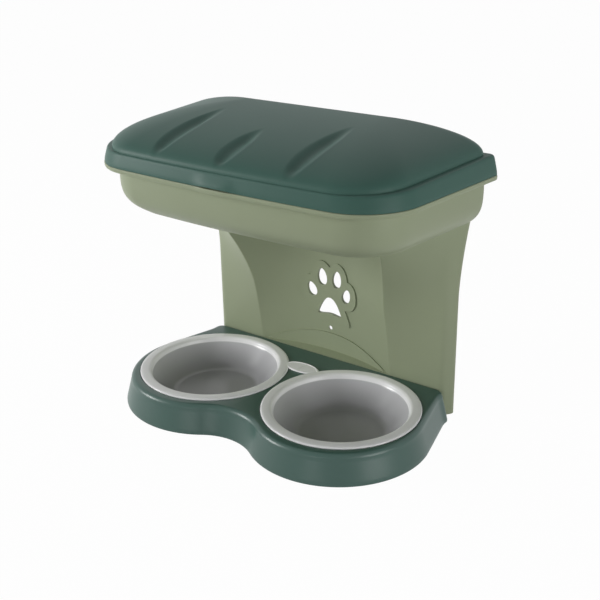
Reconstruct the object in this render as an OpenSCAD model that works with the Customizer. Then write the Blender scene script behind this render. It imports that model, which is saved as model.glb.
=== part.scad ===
// Dog feeder: two drop-in bowls in a floor tray, a support at the wall and a lidded food bin on top.
// The origin is on the floor, under the middle of the feeder. +Y points to the wall and +Z up.

/* [Bowls] */
// Outer radius of a bowl's rim
bowl_r = 115; // [90:1:130]
// Width of the rim, from its outer edge to the hollow
rim_w = 17; // [10:1:24]
// Thickness of the rim at its outer edge
rim_t = 4; // [3:0.5:6]
// Depth of the hollow, from the top of the rim
bowl_depth = 42; // [32:1:60]
// Radius of the flat floor of the hollow
bowl_floor_r = 64; // [45:1:70]
// Height of the curve that joins floor and wall
bowl_curve_h = 7; // [4:1:10]
// Wall thickness of a bowl
bowl_wall = 2.5; // [2:0.25:3.5]
// Gap between the two rims
bowl_gap = 6; // [6:1:50]
// How far each end of the thumb tabs reaches over a rim
tab_over = 5.5; // [4:0.5:8]
// Length of the two thumb tabs together, from side to side
tab_w = 60; // [50:1:70]
// Depth of a thumb tab, from front to back
tab_d = 28; // [20:1:32]
// Height of the bead along the back of the thumb tabs
bead_h = 0.8; // [0.4:0.1:1.2]

/* [Tray] */
// How far the foot of the tray stands out past a bowl's rim
tray_margin = 18; // [14:1:24]
// How far the round lobes of the tray sit in front of the bowls
lobe_fwd = 7; // [0:1:10]
// Distance from the bowl centres to the middle of the hollow front
neck_y = 104.5; // [96:0.5:108]
// How much the wall of the tray leans in, from foot to shoulder
tray_lean = 9; // [2:0.5:10]
// Radius of the rounded top edge of the tray
tray_round = 8; // [4:0.5:9]
// Wall thickness of the tray
tray_wall = 3; // [2:0.25:3.5]
// Depth of the round seat that a rim drops into
seat_depth = 1.5; // [1:0.25:2]
// Distance from a bowl's rim back to the support
tray_back_gap = 9.5; // [8:0.5:14]
// Angle on a lobe where its side runs off straight to the back
side_angle = 14.5; // [12:0.5:18]
// Free height under a bowl
bowl_float = 3; // [2:0.5:6]

/* [Support] */
// Height of the support, from the floor to the bin
support_h = 302; // [240:1:380]
// How far each side of the support stays inside the tray's lobe
support_step = 31; // [20:1:34]
// How much wider each side gets towards the bin
flare = 12; // [4:0.5:14]
// Depth of the support at the floor
support_d = 22; // [20:1:34]
// Half the width of the recess at the tray
recess_w = 122; // [100:1:135]
// How much each side of the recess opens out at the bin
recess_open = 37; // [20:1:45]
// How far the two corbels reach forward under the bin
corbel = 103; // [70:1:120]
// Wall thickness of the support
support_wall = 3; // [2.5:0.25:4]
// Width of the slanted band along each outer edge
band = 11; // [8:0.5:14]
// Height of the arch at the foot of the recess, above the tray
ramp_rise = 32; // [24:1:40]
// How far the arched panel stands out from the recess wall
arch_t = 2.4; // [1:0.2:4]

/* [Paw cut-out] */
// Height of the middle of the pad
paw_z = 122.5; // [110:0.5:150]
// Width of the pad
pad_w = 43; // [34:1:46]
// Height of the pad
pad_h = 29; // [22:1:30]
// Width of the two upper toes
toe_w = 17; // [10:1:18]
// Height of the two upper toes
toe_h = 28; // [18:1:30]
// Width of the two outer toes
side_toe_w = 16; // [10:1:17]
// Height of the two outer toes
side_toe_h = 24; // [16:1:26]
// Height of the raised plate's face in front of the recess wall
plate_t = 2; // [1:0.5:3]
// Margin of the raised plate round the holes
plate_margin = 12.5; // [10:0.5:16]
// Radius of the wall-fixing hole
fix_r = 3.6; // [2.6:0.1:4]
// Height of the wall-fixing hole
fix_z = 85; // [80:1:90]

/* [Bin] */
// Half the width of the bin's flange at the wall
bin_half_w = 270; // [255:1:290]
// How much narrower each side of the flange is at the front
bin_taper = 21; // [8:1:28]
// Distance from the bowl centres to the front of the flange
bin_front = 116; // [100:1:124]
// How far the front edge bows out between its corners
bin_bow = 8.4; // [2:0.1:12]
// Length of each front corner's curve
bin_corner = 74; // [55:1:90]
// Height of the bin
bin_h = 72; // [60:1:110]
// Height of the flange's edge
flange_h = 6.5; // [5:0.5:10]
// How far the flange stands out past the wall of the bin
flange_w = 16; // [10:1:18]
// How much each side leans in from the flange to the bottom
bin_lean = 20.5; // [14:0.5:26]
// How much more the front leans in than the sides
front_rake = 6; // [4:0.5:16]
// How tight the curve into the bottom of the bin is
bin_curve = 4.2; // [2:0.1:6]
// Wall thickness of the bin
bin_wall = 3; // [2.5:0.25:4]
// Height of the rib on the flange that the lid drops over
rib_h = 5; // [4:0.5:8]
// Thickness of that rib
rib_t = 2.4; // [2:0.2:3]

/* [Lid] */
// Height of the lid's skirt
skirt_h = 20; // [18:1:32]
// How much higher the ledge lies at the wall than at the front
ledge_rise = 8; // [0:1:12]
// Height of the dome above the front of the ledge
dome_h = 47.5; // [35:0.5:70]
// Width of the ledge round the dome at the sides
ledge_w = 9; // [6:1:20]
// Width of the ledge at the front
front_ledge_w = 0.5; // [0.5:0.5:9]
// Distance from the flange's back edge to the dome
back_ledge_w = 5; // [5:0.5:14]
// Radius of the dome's back corners
dome_corner = 16; // [8:1:26]
// Wall thickness of the lid
lid_wall = 2.6; // [2:0.2:3]
// Distance from the wall to the crown of the dome
crown_back = 44; // [40:1:80]
// Half the length of the crown's level ridge
ridge_half = 115; // [60:1:150]
// Spacing of the three scooped grooves
groove_pitch = 110; // [90:1:120]
// Width of a groove
groove_w = 34; // [24:1:40]
// Depth of a groove
groove_d = 5; // [2:0.5:7]
// Length of the middle groove, from front to back
groove_len = 101; // [80:1:120]
// How much longer the two outer grooves are
groove_more = 54; // [20:1:60]
// Half the width of the finger lip at the front
lip_w = 34; // [24:1:44]
// How far the finger lip turns out
lip_out = 3; // [1:0.5:4]

/* [Feet and screws] */
// Radius of a rubber foot
foot_r = 8; // [6:0.5:9]
// Thickness of a foot's pad
foot_t = 1.6; // [1.2:0.2:2.4]
// Length of a foot's stem
foot_stem = 6; // [4:0.5:8]
// Radius of a foot's stem
stem_r = 3; // [2:0.25:4]
// Radius of a screw's thread
screw_r = 2; // [1.5:0.25:2.5]
// Radius of a screw's head
head_r = 3.8; // [3:0.2:4.5]
// Height of a screw's head
head_h = 2.4; // [2:0.2:3]
// Length of a screw's thread
screw_len = 12; // [10:1:16]
// Distance from the middle to the tray's screws and the support's feet
screw_x = 172; // [168:1:176]
// How much further out the bin's screws are
bin_screw_out = 12; // [8:1:14]
// Distance from the wall to the bin's rear screws
bin_screw_back = 16; // [14:1:20]
// Distance between the bin's rear and front screws
bin_screw_rows = 46; // [30:1:50]
// How far a screw's tip stays short of the end of its boss
tip_gap = 1; // [0.5:0.25:2]

/* [Clearances] */
// Gap between a lifting piece and its seat
seat_gap = 0.3; // [0.2:0.05:0.5]
// Gap round the body of a bowl and inside the lid's skirt
drop_gap = 1; // [0.6:0.1:1.2]
// Gap between a screw or stem and its hole
hole_gap = 0.05; // [0.02:0.01:0.1]

/* [Hidden] */
$fn = 96;

cx = bowl_r + bowl_gap / 2;
tab_y = sqrt(bowl_r * bowl_r - pow(cx - tab_w / 2 + tab_over, 2));
lobe_r = bowl_r + tray_margin;
lobe_y = -lobe_fwd;
tray_h = bowl_float + bowl_wall + bowl_depth - rim_t + seat_depth;
seat_z = tray_h - seat_depth;
rim_top = seat_z + rim_t + seat_gap;
tray_back = bowl_r + tray_back_gap;
support_front = tray_back + seat_gap;
wall_y = support_front + support_d;
hollow_r = bowl_r - rim_w;
well_r = hollow_r + bowl_wall + drop_gap;
support_half = cx + lobe_r - support_step;
// Where each side of the tray turns straight back, and how far it has come in by then
tray_knee = tray_back - 18;
side_run = (tray_knee - lobe_y - lobe_r * sin(side_angle)) / cos(side_angle);
tray_side = cx + lobe_r * cos(side_angle) - side_run * sin(side_angle);
y_mid = (wall_y - lobe_fwd - lobe_r) / 2;

bin_z = support_h;
flange_z = bin_z + bin_h;
bin_back = wall_y - 1;
// How far the bin's wall stays in front of the flange's back edge
wall_inset = 5;
// How much tighter a corner gets for each millimetre of inset
corner_shrink = 0.4;
bottom_inset = flange_w + bin_lean;
lid_z = flange_z + seat_gap;
ledge_z = lid_z + skirt_h;
// How far the support's two inner plates lie inside its ends
plate_drop = 0.4;
crown_y = wall_y - crown_back;
// Share of the support's height below the flare, and how suddenly it then widens
flare_start = 0.61;
flare_power = 1.6;
// How the dome rises: how late it bends over, and how steep its foot is
dome_bend = 1.5;
dome_foot = 0.47;
// Where a slope that starts behind the tray would give the arch its shape
arch_foot = support_front + 2;
// How square the hollow of the recess is
recess_power = 2.2;
// Skirt profile: inset and share of its height, from its lower edge to the ledge
skirt = [[0.8, 0], [0.2, 0.07], [0.8, 0.16], [2.6, 0.55], [4.2, 0.84], [5.2, 0.96]];
skirt_inner_h = skirt_h - lid_wall - 0.2;
// How far the grooves start behind the front of the flange
groove_start = front_ledge_w + 6;

// Small helpers: a unit vector, joined lists, and an outline made whole from its right half
function unit(v) = v / norm(v);
function flat(lists) = [for (l = lists) each l];
function mirrored(half) = concat(half, [for (i = [len(half) - 2 : -1 : 0]) [-half[i][0], half[i][1]]]);
function at_height(outline, z) = [for (p = outline) [p[0], p[1], z]];
function arc(c, r, a0, a1, n) = [for (i = [0 : n]) let (a = a0 + (a1 - a0) * i / n) c + r * [cos(a), sin(a)]];
function bezier(a, b, c, d, t) =
    pow(1 - t, 3) * a + 3 * t * pow(1 - t, 2) * b + 3 * t * t * (1 - t) * c + pow(t, 3) * d;

// The triangles that close a ring of n points, in the ring's own direction: a fan for a rounded outline,
// a strip between the two long sides of a bent wall, or two fans about hubs for a two-lobed outline
function fan_cap(n) = [for (i = [1 : n - 2]) [0, i, i + 1]];
function strip_cap(n) = [for (i = [0 : n / 2 - 2]) each [[i, i + 1, n - 2 - i], [i, n - 2 - i, n - 1 - i]]];
function lobed_cap(n, hub) = let (mid = (n - 1) / 2) concat([for (i = [0 : mid - 1]) [hub, i, i + 1]],
    [for (i = [mid : n - 2]) [hub + 1, i, i + 1]],
    [[n - 1, 0, hub], [n - 1, hub, hub + 1], [hub, mid, hub + 1]]);

// A closed skin through a stack of outlines with the same number of points
module skin(rings, cap = "fan", hub_x = 0) {
    n = len(rings[0]);
    m = len(rings);
    z0 = rings[0][0][2];
    z1 = rings[m - 1][0][2];
    hubs = cap == "lobed" ? [[hub_x, 0, z0], [-hub_x, 0, z0], [hub_x, 0, z1], [-hub_x, 0, z1]] : [];
    sides = [for (j = [0 : m - 2], i = [0 : n - 1])
        let (a = j * n + i, b = j * n + (i + 1) % n, c = b + n, d = a + n)
        each [[a, b, c], [a, c, d]]];
    ends = function (hub) cap == "fan" ? fan_cap(n) : cap == "strip" ? strip_cap(n) : lobed_cap(n, hub);
    first = [for (t = ends(m * n)) [t[2], t[1], t[0]]];
    shift = (m - 1) * n;
    last = [for (t = ends(m * n + 2 - shift)) t + [shift, shift, shift]];
    polyhedron(points = concat(flat(rings), hubs), faces = concat(first, sides, last), convexity = 10);
}

// Lays a screw or foot pattern out on both sides of the middle
module both_sides() {
    children();
    mirror([1, 0, 0]) children();
}

// Outline of the bin and the lid, inset from the flange's edge at the sides, the front and the back
function bin_outline(side, front, back, back_r = 4) =
    let (wide = bin_half_w - side, narrow = wide - bin_taper, yb = bin_back - back, yf = front - bin_front,
        corner = [narrow, yf + bin_bow], along = unit([wide, yb] - corner),
        turn = bin_corner - corner_shrink * side, from = corner + turn * along, xf = narrow - turn,
        to = [xf, yf + bin_bow * pow(xf / narrow, 2)],
        slope = unit([1, 2 * bin_bow * xf / pow(narrow, 2)]), pull = 0.56 * turn,
        curve = [for (i = [0 : 10]) bezier(from, from - pull * along, to + pull * slope, to, i / 10)],
        face = [for (i = [1 : 12]) let (x = xf * (1 - i / 12)) [x, yf + bin_bow * pow(x / narrow, 2)]])
    mirrored(concat(arc([wide - back_r, yb - back_r], back_r, 90, 0, 3), curve, face));

// How far the finger lip reaches at a point: 1 at the middle of the front, falling to 0 at its ends
function lip(p) = p[1] > 0 ? 0 : exp(-pow(p[0] / lip_w, 4) * 2);
function back_share(p) = (p[1] + bin_front) / (bin_back + bin_front);
function lipped(outline, z, out, up, tilt = 0) =
    [for (p = outline) [p[0], p[1] - out * lip(p), z + up * lip(p) + tilt * back_share(p)]];

// Depth of the scooped grooves at a point: each starts round at the foot of the dome and runs back to a point
function groove(x, y) = max([for (i = [-1 : 1])
    let (s = (y + bin_front - groove_start) / (groove_len + abs(i) * groove_more),
        off = abs(x - i * groove_pitch),
        half = s <= 0 || s >= 1 ? 0 : 1.03 * groove_w * pow(s, 0.4) * pow(1 - s, 0.7))
    half < 1 || off >= half ? 0
        : groove_d * pow(1 - pow(off / half, 2), 2) * min(1, 6 * s) * min(1, 2.2 * (1 - s))]);

// One level of the dome, t = 0 at its foot and 1 at the crown, on an outline that closes in on a level ridge
function dome_level(foot, z, t) = [for (p = foot)
    let (ridge = [max(-ridge_half, min(ridge_half, p[0])), crown_y], q = ridge + (1 - t) * (p - ridge),
        low = z + ledge_rise * back_share(p), rise = pow(1 - pow(1 - t, dome_bend), dome_foot))
    [q[0], q[1], low + (z + dome_h - low) * rise - groove(q[0], q[1])]];

module lid() {
    levels = [0, 0.003, 0.01, 0.025, 0.05, 0.08, 0.12, 0.17, 0.23, 0.3, 0.38, 0.47, 0.56, 0.66, 0.78, 0.92];
    last = len(levels) - 1;
    side = 6 + ledge_w;
    front = 6 + front_ledge_w;
    foot = bin_outline(side, front, back_ledge_w, dome_corner);
    inner_foot = bin_outline(side + lid_wall, front + lid_wall, back_ledge_w + lid_wall,
        dome_corner - lid_wall);
    inside = [for (i = [last : -1 : 0]) dome_level(inner_foot, ledge_z - lid_wall, levels[i])];
    under = [for (i = [4 : -1 : 0]) let (s = skirt[i][0] + lid_wall)
        lipped(bin_outline(s, s, s), lid_z + skirt[i][1] * skirt_inner_h, i < 2 ? lip_out : 0,
            i < 2 ? lip_out * 0.6 : 0, skirt[i][1] * ledge_rise)];
    outer = [for (i = [0 : 5]) let (s = skirt[i][0])
        lipped(bin_outline(s, s * 0.9, s * 0.6), lid_z + skirt[i][1] * skirt_h, i < 3 ? lip_out : 0,
            i < 2 ? lip_out * 0.6 : 0, skirt[i][1] * ledge_rise)];
    top = [for (i = [0 : last]) dome_level(foot, ledge_z, levels[i])];
    color([0.24, 0.33, 0.30]) skin(concat(inside, under, outer, top));
}

// Bin wall at a share v of its height: the sides and front curve in towards the bottom
function bin_level(v, inward, z) = let (k = pow(1 - v, bin_curve), s = flange_w + bin_lean * k + inward)
    at_height(bin_outline(s, s + front_rake * k, wall_inset + inward), z);

module bin() {
    wall_h = bin_h - flange_h - 5;
    steps = [0.02, 0.06, 0.12, 0.2, 0.32, 0.48, 0.7, 1];
    // The rib clears the inside of the skirt at the rib's top
    rib_s = lid_wall + drop_gap
        + lookup((rib_h - seat_gap) / skirt_inner_h, [for (s = skirt) [s[1], s[0]]]);
    outer = concat([bin_level(0, 2.5, bin_z), bin_level(0, 0.6, bin_z + 0.5)],
        [for (v = steps) bin_level(v, 0, bin_z + v * wall_h)]);
    // Flange profile: inset and height, from its underside round its edge to the rib and the mouth
    flange = [[flange_w - 1, -flange_h - 2], [flange_w - 4, -flange_h - 0.4], [2, -flange_h],
        [0.4, 1.5 - flange_h], [0, 3 - flange_h], [0, -0.8], [0.6, 0], [rib_s, 0],
        [rib_s, rib_h], [rib_s + rib_t, rib_h], [rib_s + rib_t, 0]];
    edge = [for (f = flange) let (b = min(f[0], rib_s + rib_t))
        lipped(bin_outline(f[0], f[0], f[0] > 9 ? wall_inset : b), flange_z + f[1],
            f[0] < 1 ? lip_out * 0.6 : 0, 0)];
    mouth_s = flange_w + bin_wall - 0.8;
    mouth = [at_height(bin_outline(mouth_s, mouth_s, wall_inset + bin_wall), flange_z),
        bin_level(1, bin_wall, flange_z - 1)];
    inner = [for (i = [7 : -1 : 1])
        bin_level(steps[i], bin_wall, bin_z + bin_wall + steps[i] * (wall_h - bin_wall))];
    floor_level = [bin_level(0.06, bin_wall + 1.5, bin_z + bin_wall + 0.6),
        bin_level(0.06, bin_wall + 5, bin_z + bin_wall)];
    color([0.56, 0.60, 0.49]) difference() {
        union() {
            skin(concat(outer, edge, mouth, inner, floor_level));
            bin_screw_places() translate([0, 0, -bin_wall / 2]) cylinder(r = screw_r + 3, h = screw_len + 2);
        }
        bin_screw_places() translate([0, 0, -bin_wall - 1]) cylinder(r = screw_r + hole_gap, h = screw_len + 1);
    }
}

// Where the bin is screwed to the support's top plate, on the inside of the bin's floor
module bin_screw_places() {
    both_sides()
        for (row = [0, 1])
            translate([screw_x + bin_screw_out, wall_y - bin_screw_back - row * bin_screw_rows, bin_z + bin_wall])
                children();
}

// Half-widths and depths of the support at a height
function rise(z, start, power) = pow(max(0, (z - start) / (support_h - start)), power);
function side_at(z) = support_half + flare * rise(z, support_h * flare_start, flare_power);
function recess_at(z) = recess_w + recess_open * rise(z, support_h * 0.5, 1.4);
function corbel_at(z) = support_front - corbel * (0.3 * rise(z, tray_h, 1) + 0.7 * rise(z, tray_h, 2.8));

// Depth of the recess wall at a point, and the height where a slope from behind the tray would meet it
function recess_depth(x, z) = let (deep = wall_y - support_wall)
    deep - (deep - corbel_at(z)) * pow(abs(x) / recess_at(z), recess_power);
function arch_z(x, z = tray_h, n = 8) = n == 0 ? z
    : arch_z(x, tray_h + ramp_rise * (recess_depth(x, z) - arch_foot) / (wall_y - support_wall - arch_foot), n - 1);

// Right half of the support's front line at a height, from the wall round the band to the middle
function support_half_line(z) =
    let (w = side_at(z), c = [recess_at(z), corbel_at(z)], bend = [w - band, support_front + 2],
        deep = wall_y - support_wall, a = unit([w - 1, wall_y - 6] - bend), b = unit(c - bend))
    concat([[w, wall_y], [w, wall_y - 4]],
        [for (i = [0 : 3]) bezier(bend + 7 * a, bend + 3 * a, bend + 3 * b, bend + 7 * b, i / 3)],
        [for (i = [0 : 9]) let (k = 1 - i / 9) [c[0] * k, deep - (deep - c[1]) * pow(k, recess_power)]]);

// The same line moved inwards by the wall, each point along the mean of its two neighbours' normals
function moved_in(line, t) = [for (i = [0 : len(line) - 1])
    let (p = line[i], a = i == 0 ? [0, -1] : unit(p - line[i - 1]),
        b = i == len(line) - 1 ? a : unit(line[i + 1] - p), na = [a[1], -a[0]], nb = [b[1], -b[0]])
    p + t * (na + nb) / (1 + na * nb)];
function whole_line(half) = concat(half, [for (i = [len(half) - 2 : -1 : 0]) [-half[i][0], half[i][1]]]);
function reversed(list) = [for (i = [len(list) - 1 : -1 : 0]) list[i]];
function support_section(z) =
    let (line = whole_line(support_half_line(z)), in = moved_in(line, support_wall), n = len(in) - 1,
        ends = [for (i = [0 : n]) i == 0 || i == n ? [in[i][0], wall_y] : in[i]])
    at_height(concat(line, reversed(ends)), z);
function within_wall(z) = [for (p = moved_in(whole_line(support_half_line(z)), support_wall / 2))
    [p[0], min(p[1], wall_y - 0.4)]];

// Closed ovals of the paw: egg-shaped toes and a three-cornered pad with a hollow lower edge, grown by a margin
function toe(x, z, w, h, lean) = [for (i = [0 : 23])
    let (a = 15 * i, u = w / 2 * sin(a) * (1 - 0.16 * cos(a)), v = h / 2 * cos(a))
    [x + u * cos(lean) + v * sin(lean), z + v * cos(lean) - u * sin(lean)]];
function pad(w, h, notch) =
    let (top = [0, paw_z + h / 2], low = paw_z - h / 2, corner = [w / 2, low + 0.12 * h], heel = [0.4 * w, low],
        half = concat(
            [for (i = [0 : 7]) bezier(top, top + [0.2 * w, 0], corner + [-0.14 * w, 0.5 * h], corner, i / 7)],
            [for (i = [1 : 4])
                bezier(corner, corner + [0.04 * w, -0.12 * h], corner + [-0.02 * w, -0.14 * h], heel, i / 4)],
            [for (i = [1 : 5]) bezier(heel, [0.3 * w, low], [0.15 * w, low + notch], [0, low + notch], i / 5)]))
    concat(half, [for (i = [len(half) - 2 : -1 : 1]) [-half[i][0], half[i][1]]]);
module paw(grow) {
    for (side = [-1, 1]) {
        polygon(toe(side * 0.316 * pad_w, paw_z + 1.62 * pad_h, toe_w + 2 * grow, toe_h + 2 * grow,
            side * 6));
        polygon(toe(side * 0.744 * pad_w, paw_z + 0.82 * pad_h, side_toe_w + 2 * grow,
            side_toe_h + 2 * grow, side * 20));
    }
    polygon(pad(pad_w + 2.6 * grow, pad_h + 2 * grow, 2));
}

// Extrudes a shape that is drawn in X and Z through the recess wall
module through_wall() {
    translate([0, wall_y + 1, 0]) rotate([90, 0, 0]) linear_extrude(corbel) children();
}

// The skin in front of the recess wall that the raised plate is cut from
module recess_patch() {
    half = pad_w / 2 * 2.1 + plate_margin;
    columns = [for (i = [0 : 12]) half * (1 - i / 6)];
    skin([for (z = [fix_z + fix_r : 12 : paw_z + 4 * pad_h]) at_height(concat(
        [for (x = columns) [x, recess_depth(x, z) - plate_t]],
        [for (i = [12 : -1 : 0]) [columns[i], recess_depth(columns[i], z) + support_wall / 2]]), z)], "strip");
}

// The low arched panel that stands out from the foot of the recess wall
module arch_panel() {
    half = recess_w - 8;
    low = tray_h - 15;
    columns = [for (i = [0 : 24]) half * (1 - i / 12)];
    front = function (x, z) max(recess_depth(x, z) - arch_t, min(arch_foot + 0.3, recess_depth(x, z) + 0.7));
    intersection() {
        skin([for (k = [0 : 6]) let (z = low + (ramp_rise + 20) * k / 6) at_height(concat(
            [for (x = columns) [x, front(x, z)]],
            [for (i = [24 : -1 : 0]) [columns[i], recess_depth(columns[i], z) + support_wall / 2]]), z)], "strip");
        through_wall() polygon(concat([for (i = [-18 : 18]) let (x = -i * (half + 1) / 18) [x, arch_z(x)]],
            [[-half - 1, low - 1], [half + 1, low - 1]]));
    }
}

module support() {
    levels = concat([foot_t, tray_h], [for (i = [1 : 10]) tray_h + (support_h - tray_h) * i / 10]);
    // Profile of the sloped ledge that closes the gap behind the tray
    ledge_front = support_front + 0.5;
    ledge_rear = wall_y - 0.5;
    ledge_top = tray_h + 4;
    ledge = [[ledge_front, tray_h - support_wall], [ledge_front, tray_h], [ledge_rear, ledge_top],
        [ledge_rear, ledge_top - support_wall]];
    color([0.56, 0.60, 0.49]) difference() {
        union() {
            skin([for (z = levels) support_section(z)], "strip");
            translate([0, 0, support_h - support_wall - plate_drop]) linear_extrude(support_wall)
                polygon(within_wall(support_h - support_wall - plate_drop));
            translate([0, 0, foot_t + plate_drop]) linear_extrude(support_wall) polygon(within_wall(foot_t));
            rotate([90, 0, 90]) linear_extrude(2 * recess_w - 4, center = true) polygon(ledge);
            arch_panel();
            intersection() {
                recess_patch();
                through_wall() paw(plate_margin);
            }
            both_sides() {
                tray_screw_place() translate([0, 0, 1.5]) cylinder(r = head_r + 2, h = support_wall);
                support_foot_place() cylinder(r = stem_r + 2, h = foot_stem + 2);
            }
        }
        through_wall() paw(0);
        through_wall() translate([0, fix_z]) circle(r = fix_r);
        both_sides() {
            tray_screw_place() translate([0, 0, -4]) cylinder(r = screw_r + hole_gap, h = support_wall + 10);
            support_foot_place() translate([0, 0, -1]) cylinder(r = stem_r + hole_gap, h = foot_stem + 1.5);
        }
        bin_screw_places() translate([0, 0, -bin_wall - support_wall - 2])
            cylinder(r = screw_r + hole_gap, h = support_wall + 4);
    }
}

// Screws from the support into the tray: the head's seat, with +Z pointing back to the wall
seat_y = support_front + 1.2 + support_wall + 1.5;
module tray_screw_place() {
    translate([screw_x, seat_y - support_wall - 1.5, tray_h / 2]) rotate([-90, 0, 0]) children();
}
module support_foot_place() {
    translate([screw_x, (support_front + wall_y) / 2 + 1.2, foot_t]) children();
}

// Outline of the tray, inset all round its sides and front; the back stays flat
function tray_outline(inset, back) =
    let (r = lobe_r - inset, yb = tray_back - back, sx = tray_side - inset, reach = neck_y - lobe_fwd,
        neck_r = (cx * cx + reach * reach - lobe_r * lobe_r) / (2 * (lobe_r - reach)),
        neck_c = [0, -neck_y - neck_r], turn = atan2(neck_c[1] - lobe_y, -cx),
        run = (cx + r * cos(side_angle) - sx) / sin(side_angle),
        knee = [sx, lobe_y + r * sin(side_angle) + run * cos(side_angle)],
        lead = [sin(side_angle), -cos(side_angle)], corner = 9)
    mirrored(concat(arc([sx - corner, yb - corner], corner, 90, 0, 3),
        [knee + [0, 5], knee + [0.25, -1], knee + 8 * lead],
        arc([cx, lobe_y], r, side_angle, turn, 24),
        [for (i = [1 : 5]) let (a = 180 + turn + (90 - 180 - turn) * i / 5)
            neck_c + (neck_r + inset) * [cos(a), sin(a)]]));

module tray_foot_places() {
    both_sides()
        for (turn = [-60, 60])
            translate([cx + (well_r + 12.5) * cos(turn), (well_r + 12.5) * sin(turn), foot_t]) children();
}

module tray() {
    bend = [for (a = [0 : 22.5 : 90])
        [tray_lean + tray_round * (1 - cos(a)), tray_h - tray_round * (1 - sin(a))]];
    inner = [for (i = [4 : -1 : 0])
        at_height(tray_outline(bend[i][0] + tray_wall, tray_wall), bend[i][1] - tray_wall)];
    outer = [for (b = bend) at_height(tray_outline(b[0], 0), b[1])];
    color([0.22, 0.32, 0.29]) difference() {
        union() {
            skin(concat(inner, [at_height(tray_outline(tray_wall, tray_wall), foot_t),
                at_height(tray_outline(0, 0), foot_t)], outer), "lobed", cx);
            both_sides() translate([cx, 0, tray_h - 20]) cylinder(r = well_r + 2.5, h = 20 - tray_wall / 2);
            both_sides() translate([screw_x, tray_back - 1, tray_h / 2]) rotate([90, 0, 0])
                cylinder(r = screw_r + 3, h = screw_len);
            tray_foot_places() cylinder(r = foot_r + 1, h = tray_h - tray_wall / 2 - foot_t);
        }
        both_sides() translate([cx, 0, 0]) cylinder(r = well_r, h = tray_h + 1);
        both_sides() translate([cx, 0, seat_z]) cylinder(r = bowl_r + drop_gap / 2, h = seat_depth + 1);
        both_sides() translate([screw_x, tray_back + 1, tray_h / 2]) rotate([90, 0, 0])
            cylinder(r = screw_r + hole_gap, h = screw_len);
        tray_foot_places() translate([0, 0, -1]) cylinder(r = stem_r + hole_gap, h = foot_stem + 1.5);
    }
}

function oval(a, b) = [for (i = [0 : 39]) [a * sin(9 * i), tab_y + b * cos(9 * i)]];

// A bowl: inside curve from the floor to the rim, the rim, and the same curve outside by the wall
module bowl() {
    floor_z = rim_top - bowl_depth;
    swell = 1.3 * bowl_curve_h;
    inside = [for (a = [0 : 18 : 90]) [bowl_floor_r + swell * sin(a), floor_z + bowl_curve_h * (1 - cos(a))]];
    outside = [for (p = inside) p + bowl_wall * [p[1] > floor_z + 1 ? 1 : 0.3, -1]];
    rim_under = seat_z + seat_gap;
    profile = concat([[0, floor_z - bowl_wall]], outside,
        [[hollow_r - 1 + bowl_wall, rim_under - 3], [hollow_r + bowl_wall, rim_under], [bowl_r - 0.6, rim_under],
            [bowl_r, rim_under + 0.8], [bowl_r - 0.3, rim_top - 1.8], [bowl_r - 1.6, rim_top - 0.6],
            [bowl_r - 4, rim_top - 0.1], [bowl_r - 7, rim_top], [hollow_r + 4, rim_top - 0.2],
            [hollow_r + 1.4, rim_top - 0.9], [hollow_r, rim_top - 2.4], [hollow_r - 1, rim_top - 6]],
        [for (i = [5 : -1 : 0]) inside[i]], [[0, floor_z]]);
    low = tray_h + seat_gap;
    high = rim_top - 0.3;
    color([0.80, 0.81, 0.81]) {
        translate([cx, 0, 0]) rotate_extrude() polygon(profile);
        difference() {
            union() {
                translate([0, 0, low]) linear_extrude(high - low) polygon(oval(tab_w / 2, tab_d / 2));
                translate([0, 0, low]) linear_extrude(high + bead_h - low) difference() {
                    polygon(oval(tab_w / 2, tab_d / 2));
                    polygon([for (p = oval(tab_w / 2, tab_d / 2))
                        [p[0] * 0.93, (p[1] - tab_y) * 0.8 + tab_y - 0.3]]);
                    translate([-tab_w, tab_y - 2 * tab_d]) square([2 * tab_w, 2 * tab_d]);
                }
            }
            translate([-tab_w + seat_gap, 0, low - 1]) cube([tab_w, 2 * tab_y, 10]);
            translate([cx, 0, low - 1]) cylinder(r = bowl_r - rim_w / 2, h = 10);
        }
    }
}
module bowl_right() { bowl(); }
module bowl_left() { mirror([1, 0, 0]) bowl(); }

// A rounded-head screw: the thread points up from z = 0 and the head lies below
module screw(length) {
    rotate_extrude() polygon([[0, -head_h], [head_r * 0.5, -head_h], [head_r * 0.85, -head_h * 0.75],
        [head_r, -head_h * 0.3], [head_r, 0], [screw_r, 0], [screw_r, length - screw_r], [screw_r * 0.3, length],
        [0, length]]);
}
module bin_screws() {
    color([0.62, 0.63, 0.65]) bin_screw_places() translate([0, 0, -bin_wall - support_wall - plate_drop])
        screw(support_wall + screw_len - tip_gap);
}
module tray_screws() {
    color([0.62, 0.63, 0.65]) both_sides() translate([screw_x, seat_y, tray_h / 2]) rotate([90, 0, 0])
        screw(seat_y - tray_back + screw_len - 2 * tip_gap);
}

// A push-in rubber foot: a round pad on the floor and a stem in its socket
module foot() {
    rotate_extrude() polygon([[0, -foot_t], [foot_r - 0.8, -foot_t], [foot_r, 0.8 - foot_t], [foot_r, 0],
        [stem_r, 0], [stem_r, foot_stem - 0.6], [stem_r - 0.6, foot_stem], [0, foot_stem]]);
}
module tray_feet() {
    color([0.12, 0.12, 0.12]) tray_foot_places() foot();
}
module support_feet() {
    color([0.12, 0.12, 0.12]) both_sides() support_foot_place() foot();
}

// Puts the origin under the middle of the feeder
module placed() {
    translate([0, -y_mid, 0]) children();
}

placed() lid();
placed() bin();
placed() support();
placed() tray();
placed() bowl_left();
placed() bowl_right();
placed() bin_screws();
placed() tray_screws();
placed() tray_feet();
placed() support_feet();
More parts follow.
